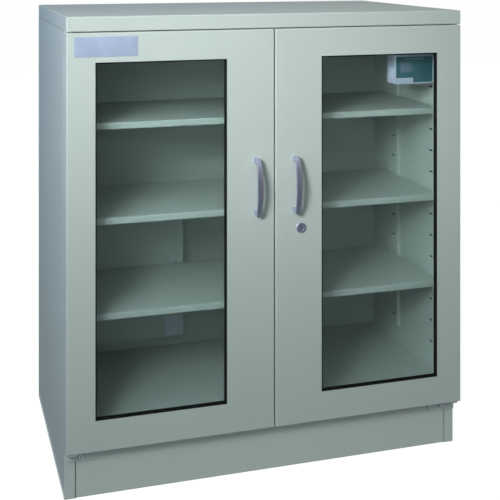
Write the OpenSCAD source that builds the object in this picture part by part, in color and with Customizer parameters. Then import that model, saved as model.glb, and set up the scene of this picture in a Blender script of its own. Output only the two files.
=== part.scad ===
// Desiccator storage cabinet with two glazed doors, adjustable shelves and a dry unit.
// Frame: origin on the floor under the middle of the bounding box, +Z up, doors face -Y.

/* [Cabinet] */
// Width over the top cap
cabinet_w = 900; // [840:10:1000]
// Depth from the door faces to the back of the cap
cabinet_d = 450; // [440:5:600]
// Height to the top of the cap
cabinet_h = 990; // [970:10:1100]
// Thickness of the body sheet
sheet = 1.2; // [0.8:0.1:1.6]
// Outside radius of the sheet bends
bend_r = 2.4; // [2:0.1:3]
// Height of the top cap
cap_h = 31; // [30:1:40]
// Overhang of the cap beyond each side panel
cap_over = 0; // [0:0.5:4]
// Depth of the flange folded back under the front of the cap
cap_return = 26; // [22:0.5:28]
// Thickness of a side wall, from the outer skin to the inner liner
wall_t = 18; // [16:1:22]
// Width of a side panel's front return, which the door seal rests on
return_w = 24; // [24:0.5:30]
// Thickness of the ceiling, from the underside of the cap to the inside
ceiling_t = 24; // [22:1:32]
// Height of the plinth, from the floor to the underside of the floor pan
plinth_h = 100; // [80:2:130]
// Height of the floor pan above the plinth
floor_t = 42; // [34:1:60]
// Depth of the service space behind the inner back wall
service_d = 95; // [80:1:110]
// Depth of the inward folds along the edges of the panels
fold_d = 12; // [10:1:16]
// Width of the louvre openings behind the dry unit
vent_w = 140; // [80:2:160]
// Height of a louvre opening
vent_h = 6; // [4:0.5:8]
// Spacing of the louvre openings
vent_pitch = 16; // [12:1:18]
// Number of louvre openings
vent_count = 12; // [6:1:12]
// Distance of the base rails from the side liners
rail_in = 68; // [50:1:120]
// Width of a base rail
rail_w = 30; // [20:1:40]

/* [Doors] */
// Thickness of a door
door_t = 26; // [24:0.5:32]
// Gap between the back of a door and the body
door_gap = 3.5; // [3:0.1:5]
// Gap between the two doors
door_middle = 3; // [2.4:0.2:6]
// Height of the door's lower edge above the floor pan's underside
door_lift = 6; // [4:0.5:10]
// Width of the outer stile beside the window
stile_outer = 59.5; // [50:0.5:90]
// Width of the meeting stile beside the window
stile_inner = 106.5; // [96:0.5:130]
// Height of the rail above the window
rail_top = 61; // [50:1:90]
// Height of the rail below the window
rail_bottom = 62.5; // [50:0.5:90]
// Thickness of the glass
glass_t = 5; // [4:0.5:6]
// Width of the rubber glazing section seen round the glass
gasket_w = 3; // [2.5:0.5:5]
// Depth of the groove that holds the edge of the glass
gasket_bite = 2; // [1:0.5:2]
// Wall of the glazing section in front of and behind the glass
gasket_wall = 3.5; // [2:0.5:4]
// Set-back of the glazing section behind the door's face
gasket_set = 1; // [0.5:0.25:3]
// Distance of the pan's window return outside the rubber's inner edge
reveal_set = 7; // [5:0.5:10]
// Distance of the foot behind the rubber from the rubber's inner edge
foot_set = 1; // [0.5:0.25:1.5]
// Width of the door seal
seal_w = 12; // [8:1:14]
// Distance from a door's outer edge to its seal
seal_in = 11.5; // [10.5:0.5:12]
// Distance from the door's top and bottom edges to its seal
seal_in_z = 7.2; // [6:0.2:10]
// Clearance left between resting faces of parts that move
seat_gap = 0.3; // [0.2:0.05:0.5]

/* [Hinges] */
// Diameter of a pivot pin
pin_d = 6; // [5:0.5:8]
// Distance of the pivot from the door's outer edge
pin_in = 9; // [8.5:0.25:9.5]
// Radial clearance of the pin in its bush
pin_fit = 0.05; // [0.02:0.01:0.08]
// Length of the pin inside the door
pin_l = 12; // [8:1:20]
// Diameter of the pin's head
pin_head_d = 10; // [8:0.5:12]
// Thickness of the pin's head
pin_head_t = 2; // [1:0.25:3]
// Thickness of a hinge bracket
bracket_t = 3; // [2.5:0.5:4]
// Length of a hinge bracket along the front of the body
bracket_w = 65; // [55:1:80]
// Width of the bracket's leg that carries the pin
bracket_leg_w = 34; // [28:1:50]
// Height of the bracket's plate
bracket_h = 27; // [24:0.5:28]
// Set-back of the bracket's leg behind the door's face
bracket_set = 4; // [2:0.5:6]
// Flange diameter of a hinge bush
bush_flange_d = 12; // [11:0.5:14]
// Flange thickness of a hinge bush
bush_flange_t = 1.5; // [1:0.25:2]
// Body diameter of a hinge bush
bush_d = 10; // [9:0.5:11]
// Diameter of the body screws
screw_d = 5; // [4:0.5:6]
// Length of the body screws
screw_l = 11; // [9:0.5:14]
// Head diameter of the body screws
screw_head_d = 11; // [8:0.5:12]
// Head height of the body screws
screw_head_t = 2.6; // [1.5:0.1:3]
// Distance of a bracket's screw from the bracket's outer end
bracket_screw_in = 32.5; // [28:0.5:36]

/* [Handles] */
// Overall length of a handle
handle_l = 122; // [90:1:160]
// Height of the middle of the handles
handle_z = 624; // [450:1:750]
// Distance of each handle from the middle of the cabinet
handle_x = 44; // [30:1:70]
// Reach of the handle in front of the door
handle_reach = 30; // [24:1:40]
// Reach of the handle at its two ends
handle_foot_reach = 17; // [12:1:22]
// Width of the handle at its ends
handle_end_w = 8; // [6:0.5:12]
// Width of the handle at its middle
handle_mid_w = 13; // [8:0.5:16]
// Thickness of the bow
handle_t = 5; // [4:0.5:7]
// Length of each foot along the door
handle_foot = 11; // [8:0.5:16]
// Diameter of the handle screws
handle_screw_d = 4; // [3:0.5:5]
// Head diameter of the handle screws
handle_head_d = 8; // [6:0.5:10]

/* [Lock and bolt] */
// Distance of the lock from the middle of the cabinet
lock_x = 59.5; // [55:0.5:70]
// Height of the lock
lock_z = 528.6; // [420:1:760]
// Diameter of the lock's face
lock_face_d = 22; // [20:1:26]
// Height of the lock's face above the door
lock_face_t = 3; // [2:0.5:4]
// Diameter of the lock's barrel
lock_barrel_d = 18; // [16:0.5:19]
// Diameter of the turning plug
plug_d = 12; // [10:0.5:13]
// Length of the cam from its axis to its tip
cam_l = 75; // [70:1:80]
// Width of the cam
cam_w = 16; // [14:1:18]
// Thickness of the cam
cam_t = 2.5; // [2:0.5:3]
// Thickness of the lock's nut
nut_t = 3; // [2.5:0.25:3.2]
// Thickness of the keeper
keeper_t = 2; // [1.5:0.5:3]
// Height of the keeper
keeper_h = 26; // [20:1:40]
// Diameter of the left door's bolt
bolt_d = 6; // [5:0.5:8]
// Travel of the bolt
bolt_travel = 12; // [10:1:12]
// Distance of the bolt from the middle of the cabinet
bolt_x = 40; // [36:1:60]
// Distance of the bolt behind the back of the door
bolt_in = 13; // [12:0.5:14]
// Size of the square strike opening for the bolt in the ceiling
strike_w = 10; // [9:0.5:12]

/* [Shelves] */
// Clearance between the shelves and the dry unit behind them
shelf_rear = 4; // [2:0.5:20]
// Height of a shelf's folded edge
shelf_t = 15; // [12:1:24]
// Set-back of the shelves behind the front of the body
shelf_set = 24; // [14:0.5:30]
// Gap between a shelf and the side liner
shelf_gap = 2.5; // [2:0.25:5]
// Inward fold under a shelf's edge
shelf_fold = 10; // [8:1:14]
// Spacing of the slots
slot_pitch = 50; // [40:2:54]
// Height of the lowest slot above the cabinet's inner floor
slot_first = 62.5; // [50:0.5:80]
// Length of a slot
slot_w = 14; // [12:1:18]
// Height of a slot
slot_h = 4; // [3:0.5:6]
// Set-back of the front slots behind the door faces
slot_front_y = 93; // [88:1:120]
// Distance from the rear uprights to the shelves' rear edges
upright_rear = 39; // [30:1:80]
// Width of a rear upright
upright_w = 37; // [36:1:50]
// Stand-off of a rear upright from the side liner
upright_t = 9; // [6:0.5:12]
// Height of the foot of the rear uprights above the inner floor
upright_foot = 42; // [30:1:48]
// Gap between the rear uprights and the ceiling
upright_head = 12; // [4:1:20]
// Least distance from the highest slot to the ceiling
slot_last = 20; // [18:1:30]
// Number of free slots below the lower shelf
slots_below = 3; // [2:1:5]
// Number of free slots above the upper shelf
slots_above = 3; // [3:1:5]
// Width of a shelf clip
clip_w = 13; // [10:0.5:13]
// Drop from the middle of a slot to the clip's ledge
clip_drop = 6.5; // [5:0.5:10]
// Height of the rear slots above the front slots
rear_slot_up = 5; // [0:0.5:8]
// Reach of a clip's ledge into the cabinet
clip_reach = 14; // [12:0.5:18]
// Thickness of a clip's sheet
clip_t = 1.2; // [1:0.1:1.4]
// Play of a clip's hook behind the wall
clip_play = 0.2; // [0.1:0.1:0.4]
// Length of a clip's hook below the middle of its slot
clip_hook = 7; // [3:0.5:9]
// Height of a clip's top above the middle of its slot
clip_rise = 1; // [0.6:0.1:1.2]

/* [Dry unit] */
// Width of the dry unit
dry_w = 300; // [260:5:340]
// Height of the dry unit
dry_h = 364; // [300:1:380]
// Reach of the dry unit in front of the inner back wall
dry_reach = 48; // [48:1:54]
// Gap between the dry unit and the left liner
dry_side = 20; // [12:1:30]
// Height of the dry unit above the inner floor
dry_lift = 40; // [30:1:60]
// Width of the space beside the chamber for the yoke and the solenoid
dry_bay = 66; // [60:1:80]
// Distance from the cover's left side to the chamber
core_side = 14; // [12:1:20]
// Distance from the cover's top and bottom to the chamber
core_end = 24; // [18:1:40]
// Distance from the cover's front to the chamber
core_front = 16; // [14:0.5:20]
// Distance from the chamber to the outer back of the cabinet
core_rear = 14; // [12:0.5:20]
// Height of the closed ends of the chamber above and below its air slots
core_shut = 60; // [40:1:80]
// Travel of the shutter plates
shutter_travel = 10; // [8:0.5:11]
// Clearance round the shutter plates
shutter_gap = 0.4; // [0.3:0.05:0.6]
// Inset of the shutter plates from the chamber's sides
shutter_in = 12; // [8:1:14]
// Height of the shutter plates above and below the air slots
shutter_lap = 14; // [10:1:20]
// Gap between the chamber and the yoke that joins the plates
yoke_gap = 14.5; // [12:0.5:20]
// Height of the yoke
yoke_h = 20; // [12:1:30]
// Distance of the yoke above the middle of the dry unit
yoke_up = 70; // [40:1:80]
// Diameter of the pull rod
pull_d = 6; // [5:0.5:8]
// Length of the pull rod
pull_l = 24; // [20:1:26]
// Diameter of the solenoid
coil_d = 22; // [18:1:26]
// Length of the solenoid
coil_l = 30; // [28:1:34]
// Distance from the solenoid's axis to the back wall
coil_y = 16; // [14:0.5:20]
// Distance from the cover's sides to its screws
dry_screw_in = 20; // [16:1:24]
// Diameter of the cover's screws
dry_screw_d = 3.2; // [3:0.2:4]
// Length of the cover's screws
dry_screw_l = 12; // [8:1:12]
// Head diameter of the cover's screws, and diameter of the posts they hold to
dry_head_d = 8; // [7:0.5:10]
// Head height of the cover's screws
dry_head_t = 2; // [1:0.25:3]
// Space above the desiccant cassette
cassette_gap = 40; // [30:1:60]
// Spacing of the heater rods
heater_pitch = 54; // [40:1:60]
// Thickness of the bar that the heater rods hang from
heater_bar = 10; // [6:1:14]
// Thickness of the shutter plates
shutter_t = 1.5; // [1.2:0.1:2]
// Number of air slots in each shutter plate
air_slots = 8; // [5:1:8]
// Width of an air slot
air_slot_w = 8; // [5:0.5:9]
// Spacing of the air slots
air_pitch = 22; // [21:0.5:24]
// Diameter of a heater rod
heater_d = 8; // [6:0.5:10]

/* [Hygrometer] */
// Width of the hygrometer
hygro_w = 105; // [80:1:110]
// Height of the hygrometer
hygro_h = 66; // [50:1:70]
// Depth of the hygrometer
hygro_d = 30; // [28:1:45]
// Gap between the hygrometer and the right liner
hygro_side = 14; // [14:1:40]
// Height of the hygrometer's underside below the ceiling
hygro_drop = 115; // [100:1:130]
// Thickness of the hygrometer's face
hygro_face_t = 1.2; // [1:0.1:2]
// Distance of the display's window from the case's left side
lcd_x = 14; // [8:0.5:30]
// Distance of the display's window from the top of the case
lcd_top = 14; // [8:0.5:20]
// Width of the display's window
lcd_w = 32; // [20:0.5:45]
// Height of the display's window
lcd_h = 24; // [14:0.5:28]

/* [Mains inlet] */
// Width of the inlet's recess
inlet_w = 24; // [22:0.5:28]
// Height of the inlet's recess
inlet_h = 17; // [16:0.5:20]
// Depth of the inlet's recess
inlet_d = 16; // [14:1:20]
// Wall of the inlet's body
inlet_wall = 2; // [1.5:0.5:3]
// Distance of the inlet from the dry unit's left side
inlet_in = 82; // [70:1:200]
// Height of the middle of the inlet
inlet_z = 60; // [40:1:70]

/* [Hidden] */
$fn = 48;
eps = 0.5;

// Datum planes
front_y = handle_reach - (cabinet_d + handle_reach) / 2;
back_y = front_y + cabinet_d;
door_back_y = front_y + door_t;
body_y = door_back_y + door_gap;
liner_y = back_y - service_d;
panel_y = back_y - sheet;
side_x = cabinet_w / 2 - cap_over;
liner_x = side_x - wall_t;
return_x = side_x - return_w;
cap_z = cabinet_h - cap_h;
ceiling_z = cap_z - ceiling_t;
floor_z = plinth_h + floor_t;
header_x = cabinet_w / 2 - fold_d;

// Doors and their windows, for the right-hand door
door_x0 = door_middle / 2;
door_x1 = side_x;
door_w = door_x1 - door_x0;
door_z0 = plinth_h + door_lift;
door_z1 = cap_z - bush_flange_t - seat_gap;
win_x0 = door_x0 + stile_inner;
win_x1 = door_x1 - stile_outer;
win_z0 = door_z0 + rail_bottom;
win_z1 = door_z1 - rail_top;
gasket_y0 = front_y + gasket_set;
glass_y = gasket_y0 + gasket_wall;
gasket_y1 = glass_y + glass_t + gasket_wall;
reveal_out = reveal_set - gasket_w;
foot_w = reveal_set - foot_set;
seal_t = door_gap - seat_gap;

// Hinges
pin_x = side_x - pin_in;
pin_y = front_y + door_t / 2;
leg_z = door_z0 - bush_flange_t - seat_gap;
bracket_x = min(side_x - 0.5, cabinet_w / 2 - sheet - 0.1);
bracket_screw_x = bracket_x - bracket_screw_in;
bracket_screw_z = leg_z - bracket_t - (bracket_h - bracket_t) / 2 - 3;
bracket_mid = (leg_z + cap_z + sheet) / 2;

// Shelves
shelf_y = body_y + shelf_set;
shelf_y1 = liner_y - dry_reach - shelf_rear;
slot_z0 = floor_z + slot_first;
slot_top = floor((ceiling_z - slot_z0 - slot_last) / slot_pitch);
slots_front_y = front_y + slot_front_y;
upright_y0 = shelf_y1 - upright_rear - upright_w;
slots_rear_y = upright_y0 + upright_w / 2;
shelf_slots = [slots_below, round((slots_below + slot_top - slots_above) / 2),
    slot_top - slots_above];

// Dry unit
dry_x0 = -liner_x + dry_side;
dry_x1 = dry_x0 + dry_w;
dry_z0 = floor_z + dry_lift;
dry_y = liner_y - dry_reach;
core_x0 = dry_x0 + core_side;
core_x1 = dry_x1 - dry_bay;
core_z0 = dry_z0 + core_end;
core_z1 = dry_z0 + dry_h - core_end;
core_y0 = dry_y + core_front;
core_y1 = back_y - core_rear;
port_z0 = core_z0 + core_shut;
port_z1 = core_z1 - core_shut;
port_x = (core_x0 + core_x1) / 2;
dry_screw_z = dry_z0 + dry_h / 2;
dry_screw_x = [dry_x0 + dry_screw_in, dry_x1 - dry_screw_in];
heater_y = (core_y0 + core_y1) / 2;
yoke_x = core_x1 + yoke_gap + shutter_t;
yoke_z = dry_screw_z + yoke_up;
coil_x = yoke_x + shutter_travel + 2;

// Mains inlet
inlet_x = dry_x0 + inlet_in;

// Handles
handle_screw_z = (handle_l - handle_foot) / 2;
handle_rise = handle_reach - handle_foot_reach;
handle_r = (handle_l * handle_l / 4 + handle_rise * handle_rise) / 2 / handle_rise;
handle_belly = (handle_mid_w - handle_end_w) / 2;
handle_side_r = (handle_l * handle_l / 4 + handle_belly * handle_belly) / 2 / handle_belly;

// Lock and bolt
cam_y = door_back_y + door_gap + seat_gap + 0.2;
barrel_y1 = cam_y - seat_gap;
bolt_y = door_back_y + bolt_in;
bolt_z1 = ceiling_z - 2;
bolt_l = 62;
guide_h = 44;
guide_z = bolt_z1 - 8 - guide_h;
knob_r = 2.5;
knob_z = guide_z + 8 + 2 * seat_gap + knob_r;

// Hygrometer
hygro_x1 = liner_x - hygro_side;
hygro_x0 = hygro_x1 - hygro_w;
hygro_y = shelf_y;
hygro_z0 = ceiling_z - hygro_drop;
hygro_z1 = hygro_z0 + hygro_h;

// Corner p of a path between a and b as points on an arc of radius r.
function bend(a, p, b, r, n = 4) =
    let (
        u = (a - p) / norm(a - p),
        v = (b - p) / norm(b - p),
        half = acos(max(-1, min(1, u * v))) / 2,
        c = p + (u + v) / norm(u + v) * r / sin(half),
        f = p + u * r / tan(half) - c,
        t = p + v * r / tan(half) - c,
        a0 = atan2(f.y, f.x),
        da = atan2(f.x * t.y - f.y * t.x, f * t)
    ) [for (i = [0:n]) c + r * [cos(a0 + da * i / n), sin(a0 + da * i / n)]];

// Sign of the turn at corner i of a path: 1 to the left, -1 to the right.
function turn(p, i) = sign(cross(p[i] - p[i - 1], p[i + 1] - p[i]));

// Path p moved by t to its left, with mitred corners.
function beside(p, t) = [
    for (i = [0:len(p) - 1]) let (
        d0 = i > 0 ? p[i] - p[i - 1] : p[1] - p[0],
        d1 = i < len(p) - 1 ? p[i + 1] - p[i] : d0,
        n0 = [-d0.y, d0.x] / norm(d0),
        n1 = [-d1.y, d1.x] / norm(d1)
    ) p[i] + (n0 + n1) * t / (1 + n0 * n1)
];

// Outline of a folded sheet: path p is its right-hand face, t its thickness, r the
// outside radius of its bends.
function folded(p, t, r) =
    let (
        q = beside(p, t),
        last = len(p) - 1,
        right = [for (i = [1:1:last - 1]) each bend(p[i - 1], p[i], p[i + 1],
            turn(p, i) > 0 ? r : r - t)],
        left = [for (i = [last - 1:-1:1]) each bend(q[i + 1], q[i], q[i - 1],
            turn(p, i) > 0 ? r - t : r)]
    ) concat([p[0]], right, [p[last], q[last]], left, [q[0]]);

// Folded sheet whose outline lies in the X-Y plane, from z0 to z1.
module fold_z(p, t, z0, z1) translate([0, 0, z0])
    linear_extrude(z1 - z0) polygon(folded(p, t, bend_r));

// Folded sheet whose outline is given as [y, z], from x0 to x1.
module fold_x(p, t, x0, x1) translate([x0, 0, 0]) rotate([90, 0, 90])
    linear_extrude(x1 - x0) polygon(folded(p, t, bend_r));

// Box between two corners.
module box(a, b) translate(a) cube(b - a);

// Box between two corners whose edges along Y are rounded to r.
module round_y(a, b, r) translate([0, b.y, 0]) rotate([90, 0, 0])
    linear_extrude(b.y - a.y) polygon([
        each bend([a.x, b.z], [a.x, a.z], [b.x, a.z], r),
        each bend([a.x, a.z], [b.x, a.z], [b.x, b.z], r),
        each bend([b.x, a.z], [b.x, b.z], [a.x, b.z], r),
        each bend([b.x, b.z], [a.x, b.z], [a.x, a.z], r)
    ]);

// Box between two corners with every outer edge rounded like a bend.
module bent_box(a, b) intersection() {
    round_y(a, b, bend_r);
    translate([0, 0, a.z]) linear_extrude(b.z - a.z) polygon([
        each bend([a.x, b.y], [a.x, a.y], [b.x, a.y], bend_r),
        each bend([a.x, a.y], [b.x, a.y], [b.x, b.y], bend_r),
        each bend([b.x, a.y], [b.x, b.y], [a.x, b.y], bend_r),
        each bend([b.x, b.y], [a.x, b.y], [a.x, a.y], bend_r)
    ]);
    translate([a.x, 0, 0]) rotate([90, 0, 90]) linear_extrude(b.x - a.x) polygon([
        each bend([a.y, b.z], [a.y, a.z], [b.y, a.z], bend_r),
        each bend([a.y, a.z], [b.y, a.z], [b.y, b.z], bend_r),
        each bend([b.y, a.z], [b.y, b.z], [a.y, b.z], bend_r),
        each bend([b.y, b.z], [a.y, b.z], [a.y, a.z], bend_r)
    ]);
}

// Upright rectangular ring between two corners, w wide.
module ring(a, b, w) difference() {
    box(a, b);
    box([a.x + w, a.y - eps, a.z + w], [b.x - w, b.y + eps, b.z - w]);
}

// Cylinder along Y from y0 to y1.
module rod_y(x, z, d, y0, y1) translate([x, y1, z]) rotate([90, 0, 0])
    cylinder(d = d, h = y1 - y0);

// Cylinder along Z from z0 to z1.
module rod_z(x, y, d, z0, z1) translate([x, y, z0]) cylinder(d = d, h = z1 - z0);

// The same shape at the left and at the right.
module both_sides() {
    children();
    mirror([1, 0, 0]) children();
}

// ---------------------------------------------------------------- body

module top_cap() color("lightsteelblue") difference() {
    w = cabinet_w / 2;
    bent_box([-w, front_y, cap_z], [w, back_y, cabinet_h]);
    box([-w + sheet, front_y + sheet, cap_z + sheet],
        [w - sheet, back_y - sheet, cabinet_h - sheet]);
    box([-w + fold_d, front_y + cap_return, cap_z - eps],
        [w - fold_d, back_y - fold_d, cap_z + 2 * sheet]);
    both_sides() rod_z(pin_x, pin_y, pin_d + 1, cap_z - eps, cap_z + 2 * sheet);
}

// Right-hand outer skin: fold to the liner, lip, front return, side, rear return.
module side_panel() fold_z([
    [liner_x + sheet, body_y + fold_d], [return_x, body_y + fold_d], [return_x, body_y],
    [side_x, body_y], [side_x, panel_y], [side_x - 2 * fold_d, panel_y]
], sheet, 0, cap_z);

// Front corners of the floor and ceiling pans, where the side panels' lips stand.
module lip_corners(z0, z1) both_sides()
    box([return_x, body_y - eps, z0], [liner_x + eps, body_y + fold_d, z1]);

module side_panel_right() color("lightslategray") side_panel();
module side_panel_left() color("lightslategray") mirror([1, 0, 0]) side_panel();

// Horizontal slots through a wall at x, one every slot_pitch from z0 up.
module slots(x, t, y, z0) for (i = [0:slot_top])
    box([x - eps, y - slot_w / 2, z0 + i * slot_pitch - slot_h / 2],
        [x + t + eps, y + slot_w / 2, z0 + i * slot_pitch + slot_h / 2]);

module side_liner() difference() {
    box([liner_x, body_y + fold_d, plinth_h], [liner_x + sheet, liner_y, cap_z]);
    slots(liner_x, sheet, slots_front_y, slot_z0);
}

module side_liner_right() color("gainsboro") side_liner();
module side_liner_left() color("gainsboro") mirror([1, 0, 0]) side_liner();

module rear_upright() difference() {
    fold_z([
        [liner_x, upright_y0 + upright_w], [liner_x - upright_t, upright_y0 + upright_w],
        [liner_x - upright_t, upright_y0], [liner_x, upright_y0]
    ], sheet, floor_z + upright_foot, ceiling_z - upright_head);
    slots(liner_x - upright_t, sheet, slots_rear_y, slot_z0 + rear_slot_up);
}

module rear_uprights() color("gainsboro") both_sides() rear_upright();

module back_liner() color("gainsboro") difference() {
    box([-liner_x - sheet, liner_y, plinth_h], [liner_x + sheet, liner_y + sheet, cap_z]);
    box([core_x0 - 4, liner_y - eps, core_z0 - 4],
        [dry_x1 - 8, liner_y + sheet + eps, core_z1 + 4]);
}

// Row of rounded louvre openings through a sheet facing Y.
module vents(x0, x1, z0, count, pitch, h, y, t) for (i = [0:count - 1])
    round_y([x0, y - eps, z0 + i * pitch], [x1, y + t + eps, z0 + i * pitch + h], h / 2.1);

module back_panel() color("lightslategray") difference() {
    box([-side_x, panel_y, 0], [side_x, back_y, cap_z]);
    vents(port_x - vent_w / 2, port_x + vent_w / 2, port_z0 + vent_h, vent_count, vent_pitch,
        vent_h, panel_y, sheet);
    box([inlet_x - inlet_w / 2 - inlet_wall, panel_y - eps, inlet_z - inlet_h / 2 - inlet_wall],
        [inlet_x + inlet_w / 2 + inlet_wall, back_y + eps, inlet_z + inlet_h / 2 + inlet_wall]);
}

module ceiling_pan() color("gainsboro") difference() {
    union() {
        fold_x([
            [body_y, cap_z], [body_y, ceiling_z], [liner_y, ceiling_z], [liner_y, cap_z]
        ], sheet, -liner_x, liner_x);
        box([-header_x, body_y, cap_z], [header_x, body_y + sheet, cabinet_h - sheet]);
        box([-liner_x, body_y, cap_z - fold_d], [liner_x, body_y + sheet, cap_z + fold_d]);
    }
    box([-bolt_x - strike_w / 2, bolt_y - strike_w / 2, ceiling_z - eps],
        [-bolt_x + strike_w / 2, bolt_y + strike_w / 2, ceiling_z + sheet + eps]);
    both_sides() bracket_hole(2 * bracket_mid, -1);
    lip_corners(ceiling_z - eps, cap_z);
}

module floor_pan() color("gainsboro") difference() {
    fold_x([
        [liner_y - 3 * fold_d, plinth_h], [liner_y, plinth_h], [liner_y, floor_z],
        [body_y, floor_z], [body_y, plinth_h], [body_y + 3 * fold_d, plinth_h]
    ], sheet, -liner_x, liner_x);
    lip_corners(plinth_h - eps, floor_z + eps);
}

module kick_plate() color("lightslategray") difference() {
    fold_x([
        [body_y + 2 * fold_d, plinth_h], [body_y, plinth_h], [body_y, 0],
        [body_y + 2 * fold_d, 0]
    ], sheet, -return_x, return_x);
    both_sides() bracket_hole(0, 1);
}

// Two channels under the floor pan, from the folds of the kick plate to the back panel.
module base_rails() color("silver") both_sides() let (x = liner_x - rail_in)
    translate([0, panel_y, 0]) rotate([90, 0, 0])
        linear_extrude(panel_y - body_y - 2 * fold_d) polygon(folded([
            [x + rail_w, plinth_h], [x, plinth_h], [x, 0], [x + rail_w, 0]
        ], sheet, bend_r));

// ---------------------------------------------------------------- shelves

module shelf(slot) let (
    z = slot_z0 + slot * slot_pitch - clip_drop,
    x = liner_x - shelf_gap,
    y1 = shelf_y1,
    notch = upright_t,
    lip = notch + sheet + shelf_fold
) difference() {
    bent_box([-x, shelf_y, z], [x, y1, z + shelf_t]);
    difference() {
        box([-x + sheet, shelf_y + sheet, z + sheet], [x - sheet, y1 - sheet, z + shelf_t - sheet]);
        both_sides() box([x - notch - sheet, upright_y0 - 2 * shelf_gap - sheet, z],
            [x + eps, upright_y0 + upright_w + 2 * shelf_gap + sheet, z + shelf_t]);
    }
    box([-x + lip, shelf_y + shelf_fold, z - eps], [x - lip, y1 - shelf_fold, z + 2 * sheet]);
    both_sides() box([x - notch, upright_y0 - 2 * shelf_gap, z - eps],
        [x + eps, upright_y0 + upright_w + 2 * shelf_gap, z + shelf_t + eps]);
}

module shelf_lower() color("aliceblue") shelf(shelf_slots[0]);
module shelf_middle() color("aliceblue") shelf(shelf_slots[1]);
module shelf_upper() color("aliceblue") shelf(shelf_slots[2]);

// Clip on a wall at x: hook behind the slot at z, web on the wall, ledge under the
// shelf, drop lower than the slot.
module clip(x, y, z, drop) translate([x, y + clip_w / 2, z]) rotate([90, 0, 0])
    linear_extrude(clip_w) polygon([
        [sheet + clip_play + clip_t, -clip_hook], [sheet + clip_play + clip_t, clip_rise],
        [-clip_t, clip_rise], [-clip_t, -drop], [-clip_reach, -drop],
        [-clip_reach, -drop - clip_t], [0, -drop - clip_t], [0, clip_rise - clip_t],
        [sheet + clip_play, clip_rise - clip_t], [sheet + clip_play, -clip_hook]
    ]);

module shelf_clips() color("silver") both_sides() for (s = shelf_slots) {
    clip(liner_x, slots_front_y, slot_z0 + s * slot_pitch, clip_drop);
    clip(liner_x - upright_t, slots_rear_y, slot_z0 + s * slot_pitch + rear_slot_up,
        clip_drop + rear_slot_up);
}

// ---------------------------------------------------------------- hinges

// Screw hole of a bracket through the sheet behind it; up is 1, or -1 at the top.
module bracket_hole(z, up) rod_y(bracket_screw_x, z + up * bracket_screw_z, screw_d,
    body_y - bracket_t - eps, body_y + sheet + eps);

// Bottom right bracket: plate on the body and a leg forward under the door.
module hinge_bracket() difference() {
    intersection() {
        translate([bracket_x - bracket_w, 0, 0]) rotate([90, 0, 90]) linear_extrude(bracket_w)
            polygon(folded([
                [body_y, leg_z - bracket_h], [body_y, leg_z], [front_y + bracket_set, leg_z]
            ], bracket_t, bracket_t + 1));
        union() {
            box([bracket_x - bracket_w, body_y - bracket_t, leg_z - bracket_h],
                [bracket_x, body_y, leg_z - bracket_t - 1]);
            translate([0, 0, leg_z - bracket_h]) linear_extrude(bracket_h) polygon([
                [bracket_x, body_y], [bracket_x, front_y + bracket_set + 6],
                [bracket_x - 6, front_y + bracket_set],
                [bracket_x - bracket_leg_w + 14, front_y + bracket_set],
                [bracket_x - bracket_leg_w, body_y - bracket_t - 1],
                [bracket_x - bracket_w, body_y - bracket_t - 1], [bracket_x - bracket_w, body_y]
            ]);
        }
    }
    rod_z(pin_x, pin_y, pin_d, leg_z - bracket_t - eps, leg_z + eps);
    bracket_hole(0, 1);
}

// The same bracket upside down, inside the top cap.
module at_top() translate([0, 0, 2 * bracket_mid]) mirror([0, 0, 1]) children();

module hinge_bracket_bottom_right() color("gray") hinge_bracket();
module hinge_bracket_bottom_left() color("gray") mirror([1, 0, 0]) hinge_bracket();
module hinge_bracket_top_right() color("gray") at_top() hinge_bracket();
module hinge_bracket_top_left() color("gray") at_top() mirror([1, 0, 0]) hinge_bracket();

module hinge_pin() {
    rod_z(pin_x, pin_y, pin_d - 2 * pin_fit, leg_z - bracket_t, door_z0 + pin_l);
    rod_z(pin_x, pin_y, pin_head_d, leg_z - bracket_t - pin_head_t, leg_z - bracket_t);
}

module hinge_pins() color("silver") both_sides() {
    hinge_pin();
    at_top() hinge_pin();
}

module bracket_screw() let (x = bracket_screw_x, y = body_y - bracket_t) {
    rod_y(x, bracket_screw_z, screw_d - 0.2, y, y + screw_l);
    difference() {
        rod_y(x, bracket_screw_z, screw_head_d, y - screw_head_t, y);
        for (a = [0, 90]) translate([x, y - screw_head_t, bracket_screw_z])
            rotate([0, a + 45, 0]) cube([screw_d, 2.4, 1.2], center = true);
    }
}

module bracket_screws() color("dimgray") both_sides() {
    bracket_screw();
    at_top() bracket_screw();
}

// ---------------------------------------------------------------- doors

module door_skin() difference() {
    bent_box([door_x0, front_y, door_z0], [door_x1, door_back_y + 2 * bend_r, door_z1]);
    box([door_x0 - eps, door_back_y, door_z0 - eps],
        [door_x1 + eps, door_back_y + 3 * bend_r, door_z1 + eps]);
    difference() {
        box([door_x0 + sheet, front_y + sheet, door_z0 + sheet],
            [door_x1 - sheet, door_back_y + eps, door_z1 - sheet]);
        box([win_x0 - sheet, front_y, win_z0 - sheet], [win_x1 + sheet, gasket_y1, win_z1 + sheet]);
    }
    box([win_x0, front_y - eps, win_z0], [win_x1, door_back_y + eps, win_z1]);
    rod_z(pin_x, pin_y, bush_d, door_z0 - eps, door_z0 + sheet + eps);
    rod_z(pin_x, pin_y, bush_d, door_z1 - sheet - eps, door_z1 + eps);
    for (s = [-1, 1]) rod_y(handle_x, handle_z + s * handle_screw_z, handle_screw_d + 0.4,
        front_y - eps, front_y + sheet + eps);
}

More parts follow.
